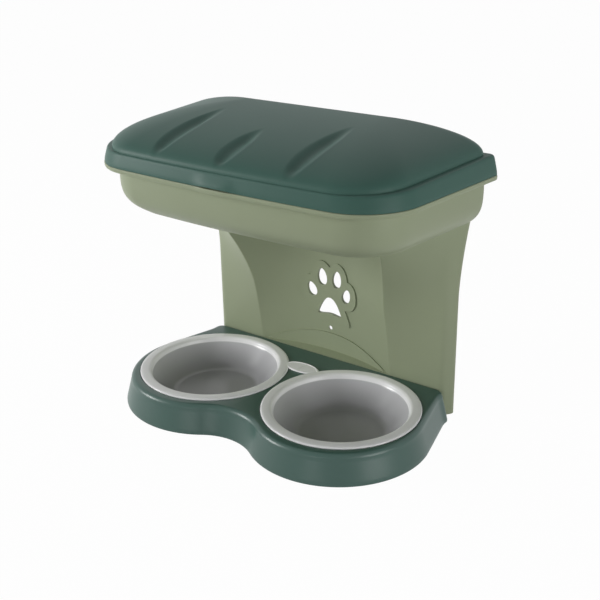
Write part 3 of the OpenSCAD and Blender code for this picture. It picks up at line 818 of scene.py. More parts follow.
@dataclass
class LidPiece:
    """The lid: a skirt with a round shoulder, a ledge and a dome with three scooped grooves."""

    outline: BinOutline = field(default_factory=BinOutline)
    wall: float = 2.6
    # The skirt, and the ledge between its shoulder and the dome's foot, which rises towards the wall.
    skirt_h: float = 20.0
    skirt_in: float = 6.0
    ledge_rise: float = 8.0
    ledge_w: float = 9.0
    front_ledge_w: float = 0.5
    back_ledge_w: float = 5.0
    # The dome, the level ridge that it rises to, and how its rings are spread.
    dome_h: float = 47.5
    dome_corner: float = 16.0
    dome_bend: float = 1.5
    dome_foot: float = 0.47
    crown_back: float = 44.0
    ridge_half: float = 115.0
    dome_rows: int = 84
    dome_crowding: float = 2.3
    crown_share: float = 0.975
    # The three grooves; the outer ones are longer.
    groove_pitch: float = 110.0
    groove_w: float = 34.0
    groove_d: float = 5.0
    groove_len: float = 101.0
    groove_more: float = 54.0
    groove_start: float = 6.5
    groove_swell: float = 1.03
    groove_head: float = 0.4
    groove_tail: float = 0.7
    # The finger lip at the front.
    lip_out: float = 3.0
    lip_up: float = 0.6
    crease: float = 40.0

    @property
    def z(self) -> float:
        """Height of the skirt's lower edge."""
        return LAYOUT.flange_z + LAYOUT.seat_gap

    @property
    def ledge_z(self) -> float:
        """Height of the ledge at the front."""
        return self.z + self.skirt_h

    def back_share(self, y: np.ndarray) -> np.ndarray:
        """Share of the way from the flange's front to its back edge."""
        front = -self.outline.front
        return (y - front) / (LAYOUT.wall_y - self.outline.back_step - front)

    def groove(self, x: np.ndarray, y: np.ndarray) -> np.ndarray:
        """Depth of the grooves at points of the plan.

        With s the share of a groove's length from its round front end, its half width is
        1.03 * width * s^0.4 * (1 - s)^0.7, and its depth falls as (1 - u^2)^2 from its middle line to its edges.

        Args:
            x: places across the lid.
            y: places from front to back.

        Returns:
            The depth at each point.
        """
        depth = np.zeros_like(x)
        for index in (-1, 0, 1):
            length = self.groove_len + abs(index) * self.groove_more
            s = np.clip((y + self.outline.front - self.groove_start) / length, 0.0, 1.0)
            half = self.groove_swell * self.groove_w * s**self.groove_head * (1 - s) ** self.groove_tail
            u = np.clip(np.abs(x - index * self.groove_pitch) / np.maximum(half, 1e-3), 0.0, 1.0)
            ends = smooth_step(6 * s) * smooth_step(2.2 * (1 - s))
            depth = np.maximum(depth, self.groove_d * (1 - u * u) ** 2 * ends * (half > 0.5))
        return depth

    def dome(self, foot: np.ndarray, z: float, levels: np.ndarray) -> np.ndarray:
        """Rings of the dome over one outline.

        A ring at share t lies at ridge + (1 - t) * (foot - ridge), where ridge is the nearest point of the level
        crown. Its height goes from low to the crown by (1 - (1 - t)^1.5)^0.47, where low is the ledge, which
        rises towards the wall.

        Args:
            foot: the outline at the dome's foot, points x 2.
            z: height of the foot at the front.
            levels: the shares, from 0 at the foot to 1 at the crown.

        Returns:
            Levels x points x 3.
        """
        crown = LAYOUT.wall_y - self.crown_back
        ridge = np.stack([np.clip(foot[:, 0], -self.ridge_half, self.ridge_half), np.full(len(foot), crown)], -1)
        plan = ridge + (1 - levels)[:, None, None] * (foot - ridge)
        low = z + self.ledge_rise * self.back_share(plan[..., 1])
        rise = (1 - (1 - levels[:, None]) ** self.dome_bend) ** self.dome_foot
        height = low + (z + self.dome_h - low) * rise - self.groove(plan[..., 0], plan[..., 1])
        return np.concatenate([plan, height[..., None]], -1)

    def skirt(self, profile: np.ndarray) -> np.ndarray:
        """Rings of the skirt, which stretch with the ledge towards the wall and swell out at the finger lip.

        Args:
            profile: rows of side, front and back inset, height and share of the lip.

        Returns:
            Rings x points x 3.
        """
        plan = self.outline.at(profile[:, 0], profile[:, 1], profile[:, 2])
        lip = self.lip_out * (self.outline.lip(plan) * profile[:, 4:5])
        x, y = plan[..., 0], plan[..., 1] - lip
        tilt = (profile[:, 3:4] - self.z) / self.skirt_h * self.ledge_rise * self.back_share(y)
        z = profile[:, 3:4] + self.lip_up * lip + tilt
        return np.stack([x, y, z], -1)

    def build(self) -> bpy.types.Object:
        """Builds the lid as one closed shell: the inside from the crown down, then the outside up again.

        The dome's rings lie closer together at its foot, where it bends most. Each row of the two profiles is side,
        front and back inset, height and share of the lip.
        """
        levels = np.linspace(0.0, 1.0, self.dome_rows) ** self.dome_crowding * self.crown_share
        side, front, back = self.skirt_in + self.ledge_w, self.skirt_in + self.front_ledge_w, self.back_ledge_w
        foot = self.outline.at(side, front, back, self.dome_corner)[0]
        inner_foot = self.outline.at(side + self.wall, front + self.wall, back + self.wall,
                                     self.dome_corner - self.wall)[0]
        top = self.ledge_z
        inner_dome = self.dome(inner_foot, top - self.wall, levels)[::-1]
        outer_dome = self.dome(foot, top, levels)
        t, z, h = self.wall, self.z, self.skirt_h
        inside = rounded([
            (side + t - 0.3, front + t - 0.3, back + t - 0.3, top - t, 0),
            (5.2 + t, 4.7 + t, 3.3 + t, top - t - 0.4, 0),
            (2.2 + t, 2.0 + t, 1.3 + t, z + 0.5 * h, 0.2),
            (0.8 + t, 0.7 + t, 0.5 + t, z, 1)], [3.0, 6.0])
        outside = rounded([
            (0.8 + t, 0.7 + t, 0.5 + t, z, 1),
            (0.4, 0.35, 0.25, z, 1),
            (0.9, 0.8, 0.55, z + 0.22 * h, 0.9),
            (4.6, 4.1, 2.8, z + 0.90 * h, 0),
            (6.8, 5.2, 3.9, top - 0.2, 0),
            (side - 0.2, front - 0.2, back - 0.2, top, 0)], [0.8, 4.0, 2.4, 2.4])
        rings = np.concatenate([inner_dome, self.skirt(inside), self.skirt(outside)[1:], outer_dome])
        return shade(skin("lid_shell", rings), self.crease)


@dataclass
class BinPiece:
    """The bin: a tub with raked walls, a wide flange, a locating rib and four screw bosses."""

    outline: BinOutline = field(default_factory=BinOutline)
    wall: float = 3.0
    # The flange and the locating rib on it.
    flange_h: float = 6.5
    flange_w: float = 16.0
    under_flange: float = 5.0
    rib_h: float = 5.0
    rib_t: float = 2.4
    rib_in: float = 4.9
    # How far the walls lean in, more at the front, and how late they do it.
    lean: float = 20.5
    front_rake: float = 6.0
    curve: float = 4.2
    back_in: float = 5.0
    # The rounding of the lower edge and of the corner inside.
    edge_in: float = 2.6
    edge_up: float = 1.4
    floor_round: float = 5.0
    # The finger lip at the front: the lid's, and the share of it that the flange has.
    lip_out: float = 3.0
    lip_share: float = 0.6
    crease: float = 34.0

    def wall_rings(self, share: np.ndarray, inward: np.ndarray, z: np.ndarray) -> np.ndarray:
        """Rings of the wall at shares of its height.

        With k = (1 - share)^4.2 the side lies flange width + lean * k inside the flange, and the front k times
        the rake further in.

        Args:
            share: 0 at the bottom and 1 at the top, one value per ring.
            inward: extra distance inwards, one value per ring.
            z: height of each ring.

        Returns:
            Rings x points x 3.
        """
        k = (1 - share) ** self.curve
        inset = self.flange_w + self.lean * k + inward
        plan = self.outline.at(inset, inset + self.front_rake * k, self.back_in + inward)
        return at_heights(plan, z)

    def flange_rings(self) -> np.ndarray:
        """Rings from the underside of the flange round its edge, over the locating rib and into the mouth.

        Each row of the profile is side and back inset, height and share of the lip.
        """
        top, rib, back_rib = LAYOUT.flange_z, self.rib_in, self.rib_in / 2
        w, t, back = self.flange_w, self.rib_t, self.back_in
        low, high = top - self.flange_h, top + self.rib_h
        edge = [(w, back, low - self.under_flange, 0), (w, back, low, 0), (0.7, 0.7, low, 1), (0, 0, low + 2.5, 1),
                (0, 0, top, 1)]
        over_rib = [(rib, back_rib, top, 0), (rib, back_rib, high, 0), (rib + t, back_rib + t, high, 0),
                    (rib + t, back_rib + t, top, 0)]
        mouth = [(w + self.wall - 0.5, back + self.wall - 0.3, top, 0), (w + self.wall, back + self.wall, top - 6, 0)]
        profile = rounded(edge + over_rib + mouth, [2.2, 1.4, 1.2, 1.0, 0.4, 0.8, 0.8, 0.6, 1.5])
        plan = self.outline.at(profile[:, 0], profile[:, 0], profile[:, 1])
        lip = self.outline.lip(plan) * profile[:, 3:4]
        z = np.broadcast_to(profile[:, 2:3], lip.shape)
        return np.stack([plan[..., 0], plan[..., 1] - self.lip_share * self.lip_out * lip, z], -1)

    def build(self) -> bpy.types.Object:
        """Builds the tub as one closed shell and adds its screw bosses.

        The rings run from the round lower edge up the outside, over the flange, down the inside and round to the
        floor. They lie closer together low down, where the wall bends most.
        """
        z, t = LAYOUT.support_h, self.wall
        wall_h = LAYOUT.bin_h - self.flange_h - self.under_flange
        share = np.linspace(0.0, 1.0, 40) ** 1.4
        quarter = np.linspace(0.0, np.pi / 2, 7)
        bottom = self.wall_rings(np.zeros(7), self.edge_in * (1 - np.sin(quarter)),
                                 z + self.edge_up * (1 - np.cos(quarter)))
        up, down = share[1:-1], share[::-1][1:-4]
        outside = self.wall_rings(up, np.zeros(len(up)), z + self.edge_up + up * (wall_h - self.edge_up))
        inside = self.wall_rings(down, np.full(len(down), t), z + t + down * (wall_h - t))
        quarter = np.linspace(0.0, np.pi / 2, 6)
        drop = down[-1] * (wall_h - t)
        floor = self.wall_rings(np.full(6, down[-1]), t + self.floor_round * (1 - np.cos(quarter)),
                                z + t + drop * (1 - np.sin(quarter)))
        rings = np.concatenate([bottom, outside, self.flange_rings(), inside, floor[1:]])
        tub = skin("bin_shell", rings)
        height, r = LAYOUT.screw_len + 2 + self.wall / 2, LAYOUT.screw_r
        boss = rounded([(0, 0), (r + 5.2, 0), (r + 3.2, 2.6), (r + 3, height), (0, height)], [1.2, 2.0, 0.6])
        floor_z = z + self.wall / 2
        combine(tub, [lathe("boss", boss + (0, floor_z), at, DRUM_STEPS) for at in LAYOUT.bin_screw_places], "UNION")
        combine(tub, [drum("hole", (*at, z - 1), LAYOUT.screw_hole_r, LAYOUT.screw_len + self.wall)
                      for at in LAYOUT.bin_screw_places], "DIFFERENCE")
        return shade(tub, self.crease)


@dataclass(frozen=True)
class Toe:
    """One toe of the paw: its size, its place in widths and heights of the pad, and its lean in degrees."""

    w: float
    h: float
    out: float
    up: float
    lean: float


@dataclass
class SupportPiece:
    """The support: two pillars that sweep forward under the bin, a hollow wall with a paw, and an arched panel."""

    wall: float = 3.0
    # The sides, which flare out from a share of the height upwards, and the round band along their edges.
    flare: float = 12.0
    flare_start: float = 0.61
    flare_power: float = 1.6
    band: float = 11.0
    edge_round: float = 2.0
    band_round: float = 7.0
    # The recess, which opens out from a share of the height upwards, and its hollow wall.
    recess_w: float = 122.0
    recess_open: float = 37.0
    recess_start: float = 0.5
    recess_power: float = 1.4
    curve_power: float = 2.2
    # The corbels: their reach, the share of it that is an even lean, and how late the rest comes.
    corbel: float = 103.0
    corbel_even: float = 0.3
    corbel_power: float = 2.8
    corbel_round: float = 4.0
    # The ledge and the arched panel at the foot of the recess.
    ledge_rise: float = 4.0
    arch_rise: float = 32.0
    arch_t: float = 2.4
    bead_r: float = 1.3
    # The paw and the raised plate round it.
    paw_z: float = 122.5
    pad_w: float = 43.0
    pad_h: float = 29.0
    toes: tuple[Toe, ...] = (Toe(17.0, 28.0, 0.316, 1.62, 6.0), Toe(16.0, 24.0, 0.744, 0.82, 20.0))
    plate_t: float = 2.0
    plate_margin: float = 12.5
    # The hole for the wall screw, the sockets of the tray's screws, and how far a cutter reaches through the wall.
    fix_r: float = 3.6
    fix_z: float = 85.0
    head_r: float = 3.8
    reach: float = 69.0
    plate_drop: float = 0.4
    crease: float = 28.0

    def rise(self, z: np.ndarray, start: float, power: float) -> np.ndarray:
        """Share of the height above a start, raised to a power."""
        return (np.maximum(0.0, z - start) / (LAYOUT.support_h - start)) ** power

    def side_at(self, z: np.ndarray) -> np.ndarray:
        """Half the support's width at a height."""
        return LAYOUT.support_half + self.flare * self.rise(z, LAYOUT.support_h * self.flare_start, self.flare_power)

    def recess_at(self, z: np.ndarray) -> np.ndarray:
        """Half the recess's width at a height."""
        start = LAYOUT.support_h * self.recess_start
        return self.recess_w + self.recess_open * self.rise(z, start, self.recess_power)

    def corbel_at(self, z: np.ndarray) -> np.ndarray:
        """Place of the recess's front edges at a height: an even lean and a sweep that grows upwards."""
        even, sweeping = self.rise(z, LAYOUT.tray_h, 1), self.rise(z, LAYOUT.tray_h, self.corbel_power)
        return LAYOUT.support_front - self.corbel * (self.corbel_even * even + (1 - self.corbel_even) * sweeping)

    def recess_y(self, x: np.ndarray, z: np.ndarray) -> np.ndarray:
        """Place of the hollow wall: deepest - (deepest - edge) * |x / half width|^2.2.

        Args:
            x: places across the support.
            z: heights.

        Returns:
            The place of the wall's front face at each point.
        """
        deep = LAYOUT.wall_y - self.wall
        share = np.abs(x) / self.recess_at(z)
        return deep - (deep - self.corbel_at(z)) * share**self.curve_power

    def control(self, z: np.ndarray) -> np.ndarray:
        """Unrounded front line of the right half at each height, from the wall to the middle.

        Args:
            z: heights, one per line.

        Returns:
            Rows x points x 2.
        """
        w, edge = self.side_at(z), self.corbel_at(z)
        y_wall, bend = LAYOUT.wall_y, LAYOUT.support_front + 2
        share = np.linspace(1.0, 0.0, 44)[None]
        x = self.recess_at(z)[:, None] * share
        y = self.recess_y(x, z[:, None])
        corners = np.stack([np.stack([w, np.full_like(w, y_wall)], -1), np.stack([w, np.full_like(w, y_wall - 4)], -1),
                            np.stack([w - self.band, np.full_like(w, bend)], -1)], 1)
        return np.concatenate([corners, np.stack([x, y], -1)], 1)

    def moved_in(self, control: np.ndarray, distance: float) -> np.ndarray:
        """The same lines moved inwards: each point goes distance * (n1 + n2) / (1 + n1 . n2).

        Args:
            control: rows x points x 2.
            distance: how far each side of the line moves.

        Returns:
            The moved lines, whose first point stays in the wall's plane.
        """
        mirror = control[:, -2:-1] * (-1.0, 1.0)
        extended = np.concatenate([control, mirror], 1)
        edge = unit(np.diff(extended, axis=1))
        first = np.broadcast_to(np.array([0.0, -1.0]), edge[:, :1].shape)
        before, after = np.concatenate([first, edge[:, :-1]], 1), edge
        normal_a = np.stack([before[..., 1], -before[..., 0]], -1)
        normal_b = np.stack([after[..., 1], -after[..., 0]], -1)
        scale = 1 + np.sum(normal_a * normal_b, -1, keepdims=True)
        moved = control + distance * (normal_a + normal_b) / scale
        moved[:, 0, 1] = LAYOUT.wall_y
        return moved

    def rounded_line(self, control: np.ndarray, radii: tuple[float, float, float]) -> np.ndarray:
        """Rounds the three outer corners of each line and adds points along its straight runs.

        Args:
            control: rows x points x 2.
            radii: radii at the outer edge, at the band and at the corbel's edge.

        Returns:
            Rows x more points x 2, with the same count for any radii.
        """
        t = np.linspace(0.0, 1.0, 7)[:, None]
        pieces, last = [control[:, :1]], control[:, 0]
        for index, radius in enumerate(radii, start=1):
            p = control[:, index]
            before, after = control[:, index - 1], control[:, index + 1]
            reach = np.minimum(radius, 0.48 * np.linalg.norm(after - p, axis=-1, keepdims=True))
            reach = np.minimum(reach, 0.48 * np.linalg.norm(before - p, axis=-1, keepdims=True))
            a, b = p + unit(before - p) * reach, p + unit(after - p) * reach
            pieces.append(line(last, a, 10 if index == 3 else 3))
            pieces.append((1 - t) ** 2 * a[:, None] + 2 * t * (1 - t) * p[:, None] + t * t * b[:, None])
            last = b
        pieces.append(control[:, 4:])
        return np.concatenate(pieces, 1)

    def both(self, half: np.ndarray) -> np.ndarray:
        """Right half lines and their mirror images as one open line each."""
        return np.concatenate([half, half[:, -2::-1] * (-1.0, 1.0)], 1)

    def shell(self) -> bpy.types.Object:
        """The bent wall itself, open at the back: outer line, then inner line back again, at every height."""
        z = np.concatenate([[LAYOUT.foot_t], np.linspace(LAYOUT.foot_t + 2, LAYOUT.support_h, 96)])
        control = self.control(z)
        outer = self.both(self.rounded_line(control, (self.edge_round, self.band_round, self.corbel_round)))
        inner = self.both(self.rounded_line(self.moved_in(control, self.wall), (0.8, 4.5, 1.2)))
        inner[:, 0, 1] = inner[:, -1, 1] = LAYOUT.wall_y
        plan = np.concatenate([outer, inner[:, ::-1]], 1)
        return skin_strip("support_shell", at_heights(plan, z))

    def plate(self, z: float) -> bpy.types.Object:
        """A level plate that closes the shell, whose edge lies in the middle of its wall.

        Args:
            z: height of its underside.

        Returns:
            The new object.
        """
        inside = self.both(self.rounded_line(self.moved_in(self.control(np.array([z])), self.wall / 2), (1, 5, 2)))[0]
        inside[:, 1] = np.minimum(inside[:, 1], LAYOUT.wall_y - 0.4)
        outline = np.concatenate([inside, np.zeros((len(inside), 1))], -1)
        return prism("plate", outline, np.array([0, 0, z]), np.array([0, 0, z + self.wall]))

    def toe_outline(self, x: float, z: float, w: float, h: float, lean: float) -> np.ndarray:
        """Egg-shaped outline: (w/2 sin a (1 - 0.16 cos a), h/2 cos a), turned clockwise.

        Args:
            x: place of its middle across the support.
            z: height of its middle.
            w: width.
            h: height.
            lean: degrees that it is turned.

        Returns:
            Points x 3, with y = 0.
        """
        a = np.linspace(0.0, 2 * np.pi, 64, endpoint=False)
        u, v = w / 2 * np.sin(a) * (1 - 0.16 * np.cos(a)), h / 2 * np.cos(a)
        c, s = math.cos(math.radians(lean)), math.sin(math.radians(lean))
        return np.stack([x + u * c + v * s, np.zeros_like(a), z + v * c - u * s], -1)

    def pad(self, w: float, h: float, notch: float = 2.0) -> np.ndarray:
        """Outline of the pad: three round corners and a hollow in its lower edge, from cubic curves.

        Args:
            w: width.
            h: height.
            notch: depth of the hollow.

        Returns:
            Points x 3, with y = 0.
        """
        low = self.paw_z - h / 2
        top = np.array([0, self.paw_z + h / 2])
        corner, heel = np.array([w / 2, low + 0.12 * h]), np.array([0.4 * w, low])
        pieces = [(top, top + (0.2 * w, 0), corner + (-0.14 * w, 0.5 * h), corner, 26),
                  (corner, corner + (0.04 * w, -0.12 * h), corner + (-0.02 * w, -0.14 * h), heel, 14),
                  (heel, np.array([0.3 * w, low]), np.array([0.15 * w, low + notch]), np.array([0, low + notch]), 14)]
        curves = [bezier(*(p[None].astype(float) for p in ends), count)[0][0 if index == 0 else 1:]
                  for index, (*ends, count) in enumerate(pieces)]
        plan = whole(np.concatenate(curves)[None])[0]
        return np.stack([plan[:, 0], np.zeros(len(plan)), plan[:, 1]], -1)

    @property
    def through_wall(self) -> tuple[np.ndarray, np.ndarray]:
        """The two ends of a bar that reaches through the hollow wall."""
        return np.array([0, LAYOUT.wall_y - self.reach, 0]), np.array([0, LAYOUT.wall_y + 1, 0])

    def paw(self, grow: float) -> list[bpy.types.Object]:
        """Five bars with the paw's outlines that reach through the wall.

        Args:
            grow: margin that is added all round each outline.

        Returns:
            The new objects, the pad's first.
        """
        outlines = [self.pad(self.pad_w + 2.6 * grow, self.pad_h + 2 * grow)]
        outlines += [self.toe_outline(side * toe.out * self.pad_w, self.paw_z + toe.up * self.pad_h,
                                      toe.w + 2 * grow, toe.h + 2 * grow, side * toe.lean)
                     for side in Side for toe in self.toes]
        return [prism("bar", outline, *self.through_wall) for outline in outlines]

    def paw_plate(self) -> bpy.types.Object:
        """The raised plate round the paw: a slab that follows the wall, cut to the grown outline."""
        half = self.pad_w / 2 * 2.1 + self.plate_margin
        x, z = np.meshgrid(np.linspace(half, -half, 90), np.linspace(self.paw_z - 34, self.paw_z + 82, 90))
        y = self.recess_y(x, z)
        front = np.stack([x, y - self.plate_t, z], -1)
        rear = np.stack([x, y + self.wall / 2, z], -1)
        ring = np.concatenate([front, rear[:, ::-1]], 1)
        slab = skin_strip("plate", ring)
        grown = self.paw(self.plate_margin)
        mask = combine(grown[0], grown[1:], "UNION")
        return combine(slab, [mask], "INTERSECT")

    def arch_line(self) -> np.ndarray:
        """The arched line where a slope from behind the tray would meet the hollow wall, from side to side.

        For each x, y is found by stepping y = wall(x, z) and z = foot + slope * (y - front) until they agree.

        Returns:
            Points x 3.
        """
        x = np.linspace(4.5 - self.recess_w, self.recess_w - 4.5, 121)
        deepest = LAYOUT.wall_y - self.wall
        slope = self.arch_rise / (deepest - self.arch_y)
        y = np.full_like(x, deepest)
        for _ in range(60):
            y = 0.5 * y + 0.5 * self.recess_y(x, LAYOUT.tray_h + slope * (y - self.arch_y))
        return np.stack([x, y, LAYOUT.tray_h + slope * (y - self.arch_y)], -1)

    @property
    def arch_y(self) -> float:
        """Where the slope that gives the arch its shape would start."""
        return LAYOUT.support_front + 2

    def ledge(self) -> bpy.types.Object:
        """The sloped ledge that closes the gap behind the tray."""
        front, rear, z = LAYOUT.support_front + 0.5, LAYOUT.wall_y - 0.5, LAYOUT.tray_h
        high = z + self.ledge_rise
        outline = np.array([(0.0, front, z - self.wall), (0.0, front, z), (0.0, rear, high),
                            (0.0, rear, high - self.wall)])
        half = np.array([self.recess_w - 2, 0, 0])
        return prism("ledge", outline, -half, half)

    def arch_panel(self) -> bpy.types.Object:
        """The low arched panel that stands out from the hollow wall behind the tray."""
        arch = self.arch_line()
        half = self.recess_w - 8
        x, z = np.meshgrid(np.linspace(-half, half, 120), np.linspace(LAYOUT.tray_h - 15, arch[:, 2].max() + 2, 60))
        y = self.recess_y(x, z)
        near = np.maximum(y - self.arch_t, np.minimum(self.arch_y + 0.3, y + 0.7))
        front, rear = np.stack([x, near, z], -1), np.stack([x, y + self.wall / 2, z], -1)
        slab = skin_strip("arch", np.concatenate([front, rear[:, ::-1]], 1))
        low = LAYOUT.tray_h / 2
        outline = np.concatenate([arch * (1, 0, 1), [(arch[-1, 0], 0, low), (arch[0, 0], 0, low)]])
        mask = prism("mask", outline, *self.through_wall)
        return combine(slab, [mask], "INTERSECT")

    def bead(self) -> bpy.types.Object:
        """The small round fillet along the arched edge of the panel."""
        arch = self.arch_line()
        seen = arch[np.abs(arch[:, 0]) < self.recess_w - 12]
        return sweep("bead", seen - (0, self.arch_t - self.bead_r, self.bead_r), self.bead_r)

    def build(self) -> bpy.types.Object:
        """Builds the support: shell, plates, ledge, arched panel and raised plate, then every hole."""
        shell = self.shell()
        top = LAYOUT.support_h - self.wall - self.plate_drop
        additions = [self.plate(top), self.plate(LAYOUT.foot_t + self.plate_drop), self.ledge(), self.paw_plate(),
                     self.arch_panel(), self.bead()]
        foot_t, foot_len = LAYOUT.foot_t, LAYOUT.foot_stem + 1.5
        front, mid_z = LAYOUT.support_front, LAYOUT.tray_h / 2
        foot_y = (front + LAYOUT.wall_y) / 2 + 1.2
        across = [side * LAYOUT.screw_x for side in Side]
        for x in across:
            additions.append(drum("boss", (x, front + 2.7, mid_z), self.head_r + 2, self.wall, "Y"))
            additions.append(drum("boss", (x, foot_y, foot_t + 0.5), LAYOUT.foot_stem_r + 2, foot_len))
        combine(shell, additions, "UNION")
        holes = self.paw(0)
        holes.append(drum("hole", (0, LAYOUT.wall_y - self.reach, self.fix_z), self.fix_r, self.reach + 1, "Y"))
        for x in across:
            holes.append(drum("hole", (x, front - 4, mid_z), LAYOUT.screw_hole_r, 20, "Y"))
            holes.append(drum("hole", (x, foot_y, foot_t - 1), LAYOUT.stem_hole_r, foot_len))
        holes += [drum("hole", (*at, top - 2), LAYOUT.screw_hole_r, 9) for at in LAYOUT.bin_screw_places]
        combine(shell, holes, "DIFFERENCE")
        return shade(shell, self.crease)


@dataclass
class TrayPiece:
    """The tray: two round lobes with a hollow front between them, a soft shoulder and two wells for the bowls."""

    wall: float = 3.0
    # The outline: how far forward the neck is, where the straight sides leave the lobes, and where they turn back.
    neck_y: float = 104.5
    side_angle: float = 14.5
    knee_back: float = 18.0
    corner: float = 9.0
    # The wall's lean and its round shoulder.
    lean: float = 9.0
    round_r: float = 8.0
    # The collars round the wells, and the bosses that the feet are pushed into.
    collar_h: float = 20.0
    collar_t: float = 2.5
    foot_turns: tuple[float, float] = (-60.0, 60.0)
    foot_r: float = 8.0
    foot_out: float = 12.5
    crease: float = 34.0

    def outline(self, inset: np.ndarray, back: np.ndarray) -> np.ndarray:
        """Plan outlines moved in from the foot of the wall.

        The line runs along the straight back, round a corner, down a straight side that runs off the lobe's
        circle, round the lobe, and round the hollow neck, whose circle touches the lobe's.

        Args:
            inset: distance inwards, one value per outline.
            back: distance of the back inwards.

        Returns:
            Outlines x points x 2.
        """
        cx, lobe_y = LAYOUT.bowl_x, -LAYOUT.lobe_fwd
        r, y_back = LAYOUT.lobe_r - inset, LAYOUT.tray_back - back
        reach = self.neck_y - LAYOUT.lobe_fwd
        neck_r = (cx * cx + reach * reach - LAYOUT.lobe_r**2) / (2 * (LAYOUT.lobe_r - reach))
        neck_y = -self.neck_y - neck_r
        turn = math.degrees(math.atan2(neck_y - lobe_y, -cx))
        a = math.radians(self.side_angle)
        foot_run = (LAYOUT.tray_back - self.knee_back - lobe_y - LAYOUT.lobe_r * math.sin(a)) / math.cos(a)
        side = cx + LAYOUT.lobe_r * math.cos(a) - foot_run * math.sin(a) - inset
        run = (cx + r * math.cos(a) - side) / math.sin(a)
        knee = np.stack([side, lobe_y + r * math.sin(a) + run * math.cos(a)], -1)
        centre = np.stack([side - self.corner, y_back - self.corner], -1)
        ones = np.ones_like(r)
        back_corner = arc(centre, self.corner * ones, 90, 0, 10)
        middle = np.stack([np.zeros_like(r), y_back], -1)
        lead = np.array([math.sin(a), -math.cos(a)])
        above, below = knee + (0.0, 6.0), knee + 9 * lead
        bend = bezier(above, knee + (0.0, 1.5), knee + 2 * lead, below, 9)
        lobe = arc((cx, lobe_y), r, self.side_angle, turn, 120)
        neck = arc((0.0, neck_y), neck_r + inset, 180 + turn, 90, 40)[:, 1:]
        pieces = [middle[:, None], line(middle, back_corner[:, 0], 30), back_corner,
                  line(back_corner[:, -1], above, 6), bend, line(below, lobe[:, 0], 6), lobe, neck]
        return whole(np.concatenate(pieces, 1))

    def rings(self, profile: np.ndarray) -> np.ndarray:
        """Rings from rows of inset, back inset and height."""
        return at_heights(self.outline(profile[:, 0], profile[:, 1]), profile[:, 2])

    def well(self, x: float) -> bpy.types.Object:
        """The space for a bowl: a well, a shallow seat and a softly rounded mouth.

        Args:
            x: place of its axis.

        Returns:
            The new object.
        """
        h, r = LAYOUT.tray_h, LAYOUT.bowl_r + LAYOUT.drop_gap / 2
        profile = rounded([(0, 0), (LAYOUT.well_r, 0), (LAYOUT.well_r, LAYOUT.seat_z), (r, LAYOUT.seat_z),
                           (r, h - 0.9), (r + 0.9, h + 0.02), (r + 3, h + 0.02), (r + 3, h + 2), (0, h + 2)],
                          [0.1, 0.8, 0.5, 0.5, 0.5, 0.1, 0.1], 4)
        return lathe("well", profile, (x, 0.0), 200)

    def foot_places(self) -> list[tuple[float, float]]:
        """Where the four feet are pushed in, round the wells."""
        reach = LAYOUT.well_r + self.foot_out
        turns = [math.radians(turn) for turn in self.foot_turns]
        return [(side * (LAYOUT.bowl_x + reach * math.cos(a)), reach * math.sin(a)) for side in Side for a in turns]

    def build(self) -> bpy.types.Object:
        """Builds the tray: a rounded shell with collars and bosses, then the wells and holes."""
        h, t, foot = LAYOUT.tray_h, self.wall, LAYOUT.foot_t
        a = np.radians(np.linspace(0.0, 90.0, 12))
        over = np.stack([self.lean + self.round_r * (1 - np.cos(a)), np.zeros(12),
                         h - self.round_r * (1 - np.sin(a))], -1)
        over[:, 1] = np.maximum(0.0, np.linspace(-1.4, 1.6, 12)) ** 2 / 1.6
        under = over[::-1] + (t, 0.0, -t)
        under[:, 1] = t
        wall_steps = np.linspace(0.0, 1.0, 8)[1:-1, None]
        foot_edge = rounded([(t, t, foot + 3), (t, t, foot), (0, 0, foot), (0, 0, foot + 3)], [0.5, 0.6], 4)
        rise = foot_edge[-1] * (1 - wall_steps) + over[0] * wall_steps
        rings = self.rings(np.concatenate([under, foot_edge, rise, over]))
        tray = skin("tray_shell", rings)
        collar_r, screw_len = LAYOUT.well_r + self.collar_t, LAYOUT.screw_len
        screws = [(side * LAYOUT.screw_x, LAYOUT.tray_back - screw_len) for side in Side]
        additions = [drum("collar", (side * LAYOUT.bowl_x, 0, h - self.collar_h), collar_r, self.collar_h - t / 2,
                          "Z", 200) for side in Side]
        additions += [drum("boss", (x, y, foot), self.foot_r + 1, h - t / 2 - foot) for x, y in self.foot_places()]
        additions += [drum("boss", (x, y - 1, h / 2), LAYOUT.screw_r + 3, screw_len, "Y") for x, y in screws]
        combine(tray, additions, "UNION")
        cuts = [self.well(side * LAYOUT.bowl_x) for side in Side]
        cuts += [drum("hole", (x, y, foot - 1), LAYOUT.stem_hole_r, LAYOUT.foot_stem + 1.5)
                 for x, y in self.foot_places()]
        cuts += [drum("hole", (x, y + 1, h / 2), LAYOUT.screw_hole_r, screw_len, "Y") for x, y in screws]
        combine(tray, cuts, "DIFFERENCE")
        return shade(tray, self.crease)


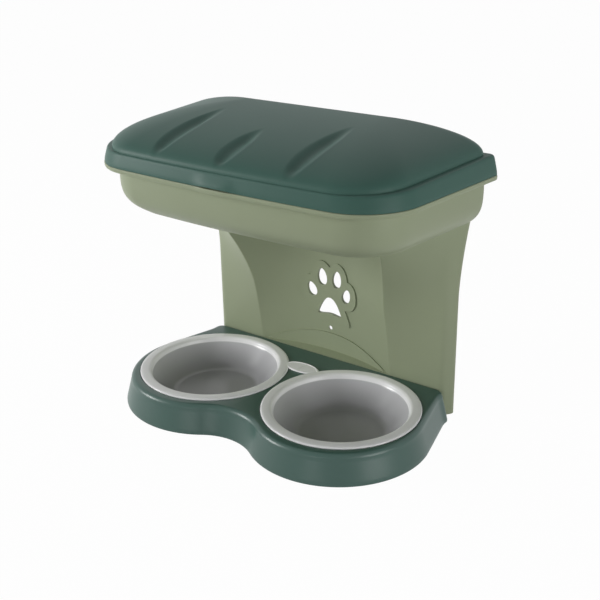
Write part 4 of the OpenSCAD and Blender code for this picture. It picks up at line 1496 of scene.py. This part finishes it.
@dataclass
class BowlPiece:
    """A drop-in bowl with half of the thumb tab that bridges the two rims."""

    side: Side
    # The floor, and the height that the wall takes to curve up from it.
    floor_r: float = 64.0
    curve_h: float = 7.0
    # The thumb tab, and the bead that lies inside its edge by a share of its size.
    tab_y: float = 66.95
    tab_w: float = 60.0
    tab_d: float = 28.0
    tab_round: float = 1.6
    bead_r: float = 1.3
    bead_in: float = 0.88
    crease: float = 34.0

    @property
    def x(self) -> float:
        """Where the bowl's axis is."""
        return self.side * LAYOUT.bowl_x

    def profile(self) -> np.ndarray:
        """Radius and height pairs from the middle of the underside round the rim to the middle of the floor."""
        top, seat, t = LAYOUT.rim_top, LAYOUT.seat_z + LAYOUT.seat_gap, LAYOUT.bowl_wall
        hollow, r, floor = LAYOUT.bowl_r - LAYOUT.rim_w, LAYOUT.bowl_r, LAYOUT.rim_top - LAYOUT.bowl_depth
        low_r = self.floor_r + 1.3 * self.curve_h
        under = [(0, floor - t), (self.floor_r + 3, floor - t), (low_r + t + 1, floor + self.curve_h - t),
                 (hollow - 1 + t, seat - 3), (hollow + t, seat)]
        rim = [(r - 0.3, seat), (r, top - 1.6), (r - 2.4, top - 0.25), (r - 8, top), (hollow + 3, top - 0.1),
               (hollow, top - 2.6)]
        inside = [(hollow - 1.2, top - 7), (low_r, floor + self.curve_h), (self.floor_r, floor), (0, floor)]
        radii = [6, 8, 2, 0.8, 0.7, 1.2, 2.5, 5, 1.8, 1.6, 4, 9, 6]
        return rounded(under + rim + inside, radii, 7)

    def oval(self, share: float, height: float) -> np.ndarray:
        """Outline of the whole tab, drawn in by a share, at a height."""
        a = np.linspace(0.0, 2 * np.pi, 120, endpoint=False)
        return np.stack([share * self.tab_w / 2 * np.sin(a), self.tab_y + share * self.tab_d / 2 * np.cos(a),
                         np.full_like(a, height)], -1)

    def tab(self) -> bpy.types.Object:
        """This bowl's half of the tab, with a soft edge and a bead along its back."""
        low, high = LAYOUT.tray_h + LAYOUT.seat_gap, LAYOUT.rim_top - 0.3
        a = np.radians(np.linspace(0.0, 90.0, 7))
        r, reach = self.tab_round, self.tab_d / 2
        rings = [self.oval(1.0, low)]
        rings += [self.oval(1 - r * (1 - math.cos(x)) / reach, high - r * (1 - math.sin(x))) for x in a]
        body = skin("tab", np.stack(rings))
        angle = np.radians(np.linspace(-84.0, 84.0, 60))
        path = np.stack([self.bead_in * self.tab_w / 2 * np.sin(angle),
                         self.tab_y + self.bead_in * reach * np.cos(angle), np.full_like(angle, high - 0.5)], -1)
        combine(body, [sweep("bead", path, self.bead_r, 12)], "UNION")
        gap = LAYOUT.seat_gap
        box = np.array([(gap, 0, 0), (90, 0, 0), (90, 120, 0), (gap, 120, 0)]) * (self.side, 1, 1)
        half = prism("half", box, np.array([0, 0, low - 1]), np.array([0, 0, low + 12]))
        combine(body, [half], "INTERSECT")
        keep_off = drum("keep_off", (self.x, 0, low - 1), LAYOUT.bowl_r - LAYOUT.rim_w / 2, 10, "Z", 160)
        return combine(body, [keep_off], "DIFFERENCE")

    def build(self) -> bpy.types.Object:
        """Builds the bowl and joins its tab to the rim."""
        name = "bowl_left_shell" if self.side is Side.LEFT else "bowl_right_shell"
        bowl = lathe(name, self.profile(), (self.x, 0.0), 220)
        combine(bowl, [self.tab()], "UNION")
        return shade(bowl, self.crease)


@dataclass(frozen=True)
class Lamp:
    """A square soft light: its place, its aim and its side in metres, and its power in watts."""

    name: str
    at: tuple[float, float, float]
    size: float
    power: float
    aim: tuple[float, float, float] = (0.0, 0.0, 0.22)

    def build(self) -> None:
        """Hangs the lamp and turns it to its aim."""
        data = bpy.data.lights.new(self.name, "AREA")
        data.size = self.size
        data.energy = self.power
        lamp = bpy.data.objects.new(self.name, data)
        bpy.context.scene.collection.objects.link(lamp)
        lamp.location = self.at
        lamp.rotation_euler = (Vector(self.aim) - Vector(self.at)).to_track_quat("-Z", "Y").to_euler()


@dataclass
class Studio:
    """Plain pale floor, soft lights and the camera at the photograph's angle."""

    # The camera: degrees, a focal length on a sensor 36 mm wide, and its place from the bowls' line.
    azimuth: float = 36.84
    elevation: float = 22.64
    roll: float = -1.0
    lens: float = 59.94
    sensor: float = 36.0
    camera_at: tuple[float, float, float] = (824.0, -1035.0, 733.0)
    floor_colour: str = "E9EAEA"
    floor_white: float = 0.98
    floor_reach: float = 6.0
    world_colour: str = "EEF0F2"
    # The surround's strength at eye level and overhead, where it has faded out.
    low_strength: float = 0.46
    high_strength: float = 0.04
    fade_height: float = 0.7
    lamps: tuple[Lamp, ...] = (
        Lamp("key_left", (-2.1, -1.5, 0.85), 0.9, 41),
        Lamp("top", (-0.4, 0.3, 2.2), 1.2, 3),
        Lamp("right_fill", (2.0, -0.4, 0.45), 1.0, 14),
        Lamp("front_low", (0.3, -2.2, 0.12), 0.6, 3, aim=(0.0, 0.0, 0.1)))

    def camera(self) -> None:
        """Sets the camera: back, right and up vectors from the azimuth, the elevation and the roll."""
        az, el, roll = (math.radians(v) for v in (self.azimuth, self.elevation, self.roll))
        back = Vector((math.sin(az) * math.cos(el), -math.cos(az) * math.cos(el), math.sin(el)))
        right = (-back).cross(Vector((0, 0, 1))).normalized()
        up = right.cross(-back)
        right, up = math.cos(roll) * right + math.sin(roll) * up, math.cos(roll) * up - math.sin(roll) * right
        data = bpy.data.cameras.new("camera")
        data.lens = self.lens
        data.sensor_width = self.sensor
        data.clip_end = 100.0
        camera = bpy.data.objects.new("camera", data)
        bpy.context.scene.collection.objects.link(camera)
        place = LAYOUT.place(np.array([self.camera_at]))[0]
        camera.matrix_world = Matrix.Translation(place) @ Matrix((right, up, back)).transposed().to_4x4()
        bpy.context.scene.camera = camera

    def white_seen(self, tree: bpy.types.NodeTree, shader: bpy.types.NodeSocket, output: str, share: float) -> None:
        """Blends a shader with plain white where the camera, a gloss or a clear surface looks at it.

        Args:
            tree: the node tree.
            shader: what lights the object.
            output: type of the output node.
            share: how much of what is seen is plain white.
        """
        path = add_node(tree, "ShaderNodeLightPath")
        direct = add_node(tree, "ShaderNodeMath", {"operation": "ADD"}, _0=path.outputs["Is Camera Ray"],
                          _1=path.outputs["Is Glossy Ray"])
        seen = add_node(tree, "ShaderNodeMath", {"operation": "ADD", "use_clamp": True}, _0=direct.outputs[0],
                        _1=path.outputs["Is Transmission Ray"])
        part = add_node(tree, "ShaderNodeMath", {"operation": "MULTIPLY"}, _0=seen.outputs[0], _1=share)
        white = add_node(tree, "ShaderNodeEmission", Color=(1, 1, 1, 1), Strength=1.0)
        mixed = add_node(tree, "ShaderNodeMixShader", Fac=part.outputs[0], _1=shader, _2=white.outputs[0])
        add_node(tree, output, Surface=mixed.outputs[0])

    def floor(self) -> None:
        """A wide level floor that keeps a faint shadow under the feeder."""
        mesh = bpy.data.meshes.new("floor")
        r = self.floor_reach
        mesh.from_pydata([(-r, -r, 0), (r, -r, 0), (r, r, 0), (-r, r, 0)], [], [(0, 1, 2, 3)])
        floor = bpy.data.objects.new("floor", mesh)
        bpy.context.scene.collection.objects.link(floor)
        material, tree = bare_material("matt_paper_floor")
        matt = add_node(tree, "ShaderNodeBsdfDiffuse", Color=linear(self.floor_colour))
        self.white_seen(tree, matt.outputs[0], "ShaderNodeOutputMaterial", self.floor_white)
        mesh.materials.append(material)

    def world(self) -> None:
        """A pale surround, brighter at eye level than overhead, that is seen as plain white."""
        world = bpy.data.worlds.new("surround")
        bpy.context.scene.world = world
        world.use_nodes = True
        tree = world.node_tree
        tree.nodes.clear()
        direction = add_node(tree, "ShaderNodeTexCoord").outputs["Generated"]
        height = add_node(tree, "ShaderNodeSeparateXYZ", Vector=direction).outputs["Z"]
        strength = add_node(tree, "ShaderNodeMapRange", Value=height, From_Max=self.fade_height,
                            To_Min=self.low_strength, To_Max=self.high_strength).outputs["Result"]
        pale = add_node(tree, "ShaderNodeBackground", Color=linear(self.world_colour), Strength=strength)
        self.white_seen(tree, pale.outputs[0], "ShaderNodeOutputWorld", 1.0)

    def build(self) -> None:
        """Builds the whole stage."""
        bpy.context.scene.view_settings.view_transform = "Standard"
        self.camera()
        self.floor()
        self.world()
        for lamp in self.lamps:
            lamp.build()


def dress_cad(frame: dict, name: str, material: bpy.types.Material) -> None:
    """Gives a solid that stays as it is its better material.

    Args:
        name: the solid's name.
        material: its material.
    """
    piece = frame["nodes"][name]
    piece.data.materials.clear()
    piece.data.materials.append(material)
    LOG.info("%s: kept, with %s", name, material.name)


def main() -> None:
    """Builds the stage and every piece."""
    logging.basicConfig(level=logging.INFO, format="%(message)s")
    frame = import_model()
    Studio().build()

    lid_plastic = MouldedPlastic("moulded_polypropylene_dark_green", "43635A", "486A60", 0.44, gloss=0.16).make()
    sage_plastic = MouldedPlastic("moulded_polypropylene_sage", "98A184", "9CA589", 0.44).make()
    tray_plastic = MouldedPlastic("moulded_polypropylene_deep_green", "3D5C54", "416259", 0.34, gloss=0.55).make()
    # The bowls' hollows carry painted shade, darker towards the floor.
    bowl_plastic = PolishedPlastic("polished_light_grey_polypropylene_with_painted_hollow_shade", "FAFAFA", "C6C6C9", "9C9C9E").make()
    steel, rubber = ZincSteel().make(), FootRubber().make()

    dress(LidPiece().build(), "lid_shell", Body.LID, lid_plastic, ("lid",))
    dress(BinPiece().build(), "bin_shell", Body.STAND, sage_plastic, ("bin",))
    dress(SupportPiece().build(), "support_shell", Body.STAND, sage_plastic, ("support",))
    dress(TrayPiece().build(), "tray_shell", Body.STAND, tray_plastic, ("tray",))
    dress(BowlPiece(Side.LEFT).build(), "bowl_left_shell", Body.BOWL_LEFT, bowl_plastic, ("bowl_left",))
    dress(BowlPiece(Side.RIGHT).build(), "bowl_right_shell", Body.BOWL_RIGHT, bowl_plastic,
          ("bowl_right",))
    for name in ("bin_screws", "tray_screws"):
        dress_cad(frame, name, steel)
    for name in ("tray_feet", "support_feet"):
        dress_cad(frame, name, rubber)


if __name__ == "__main__":
    main()
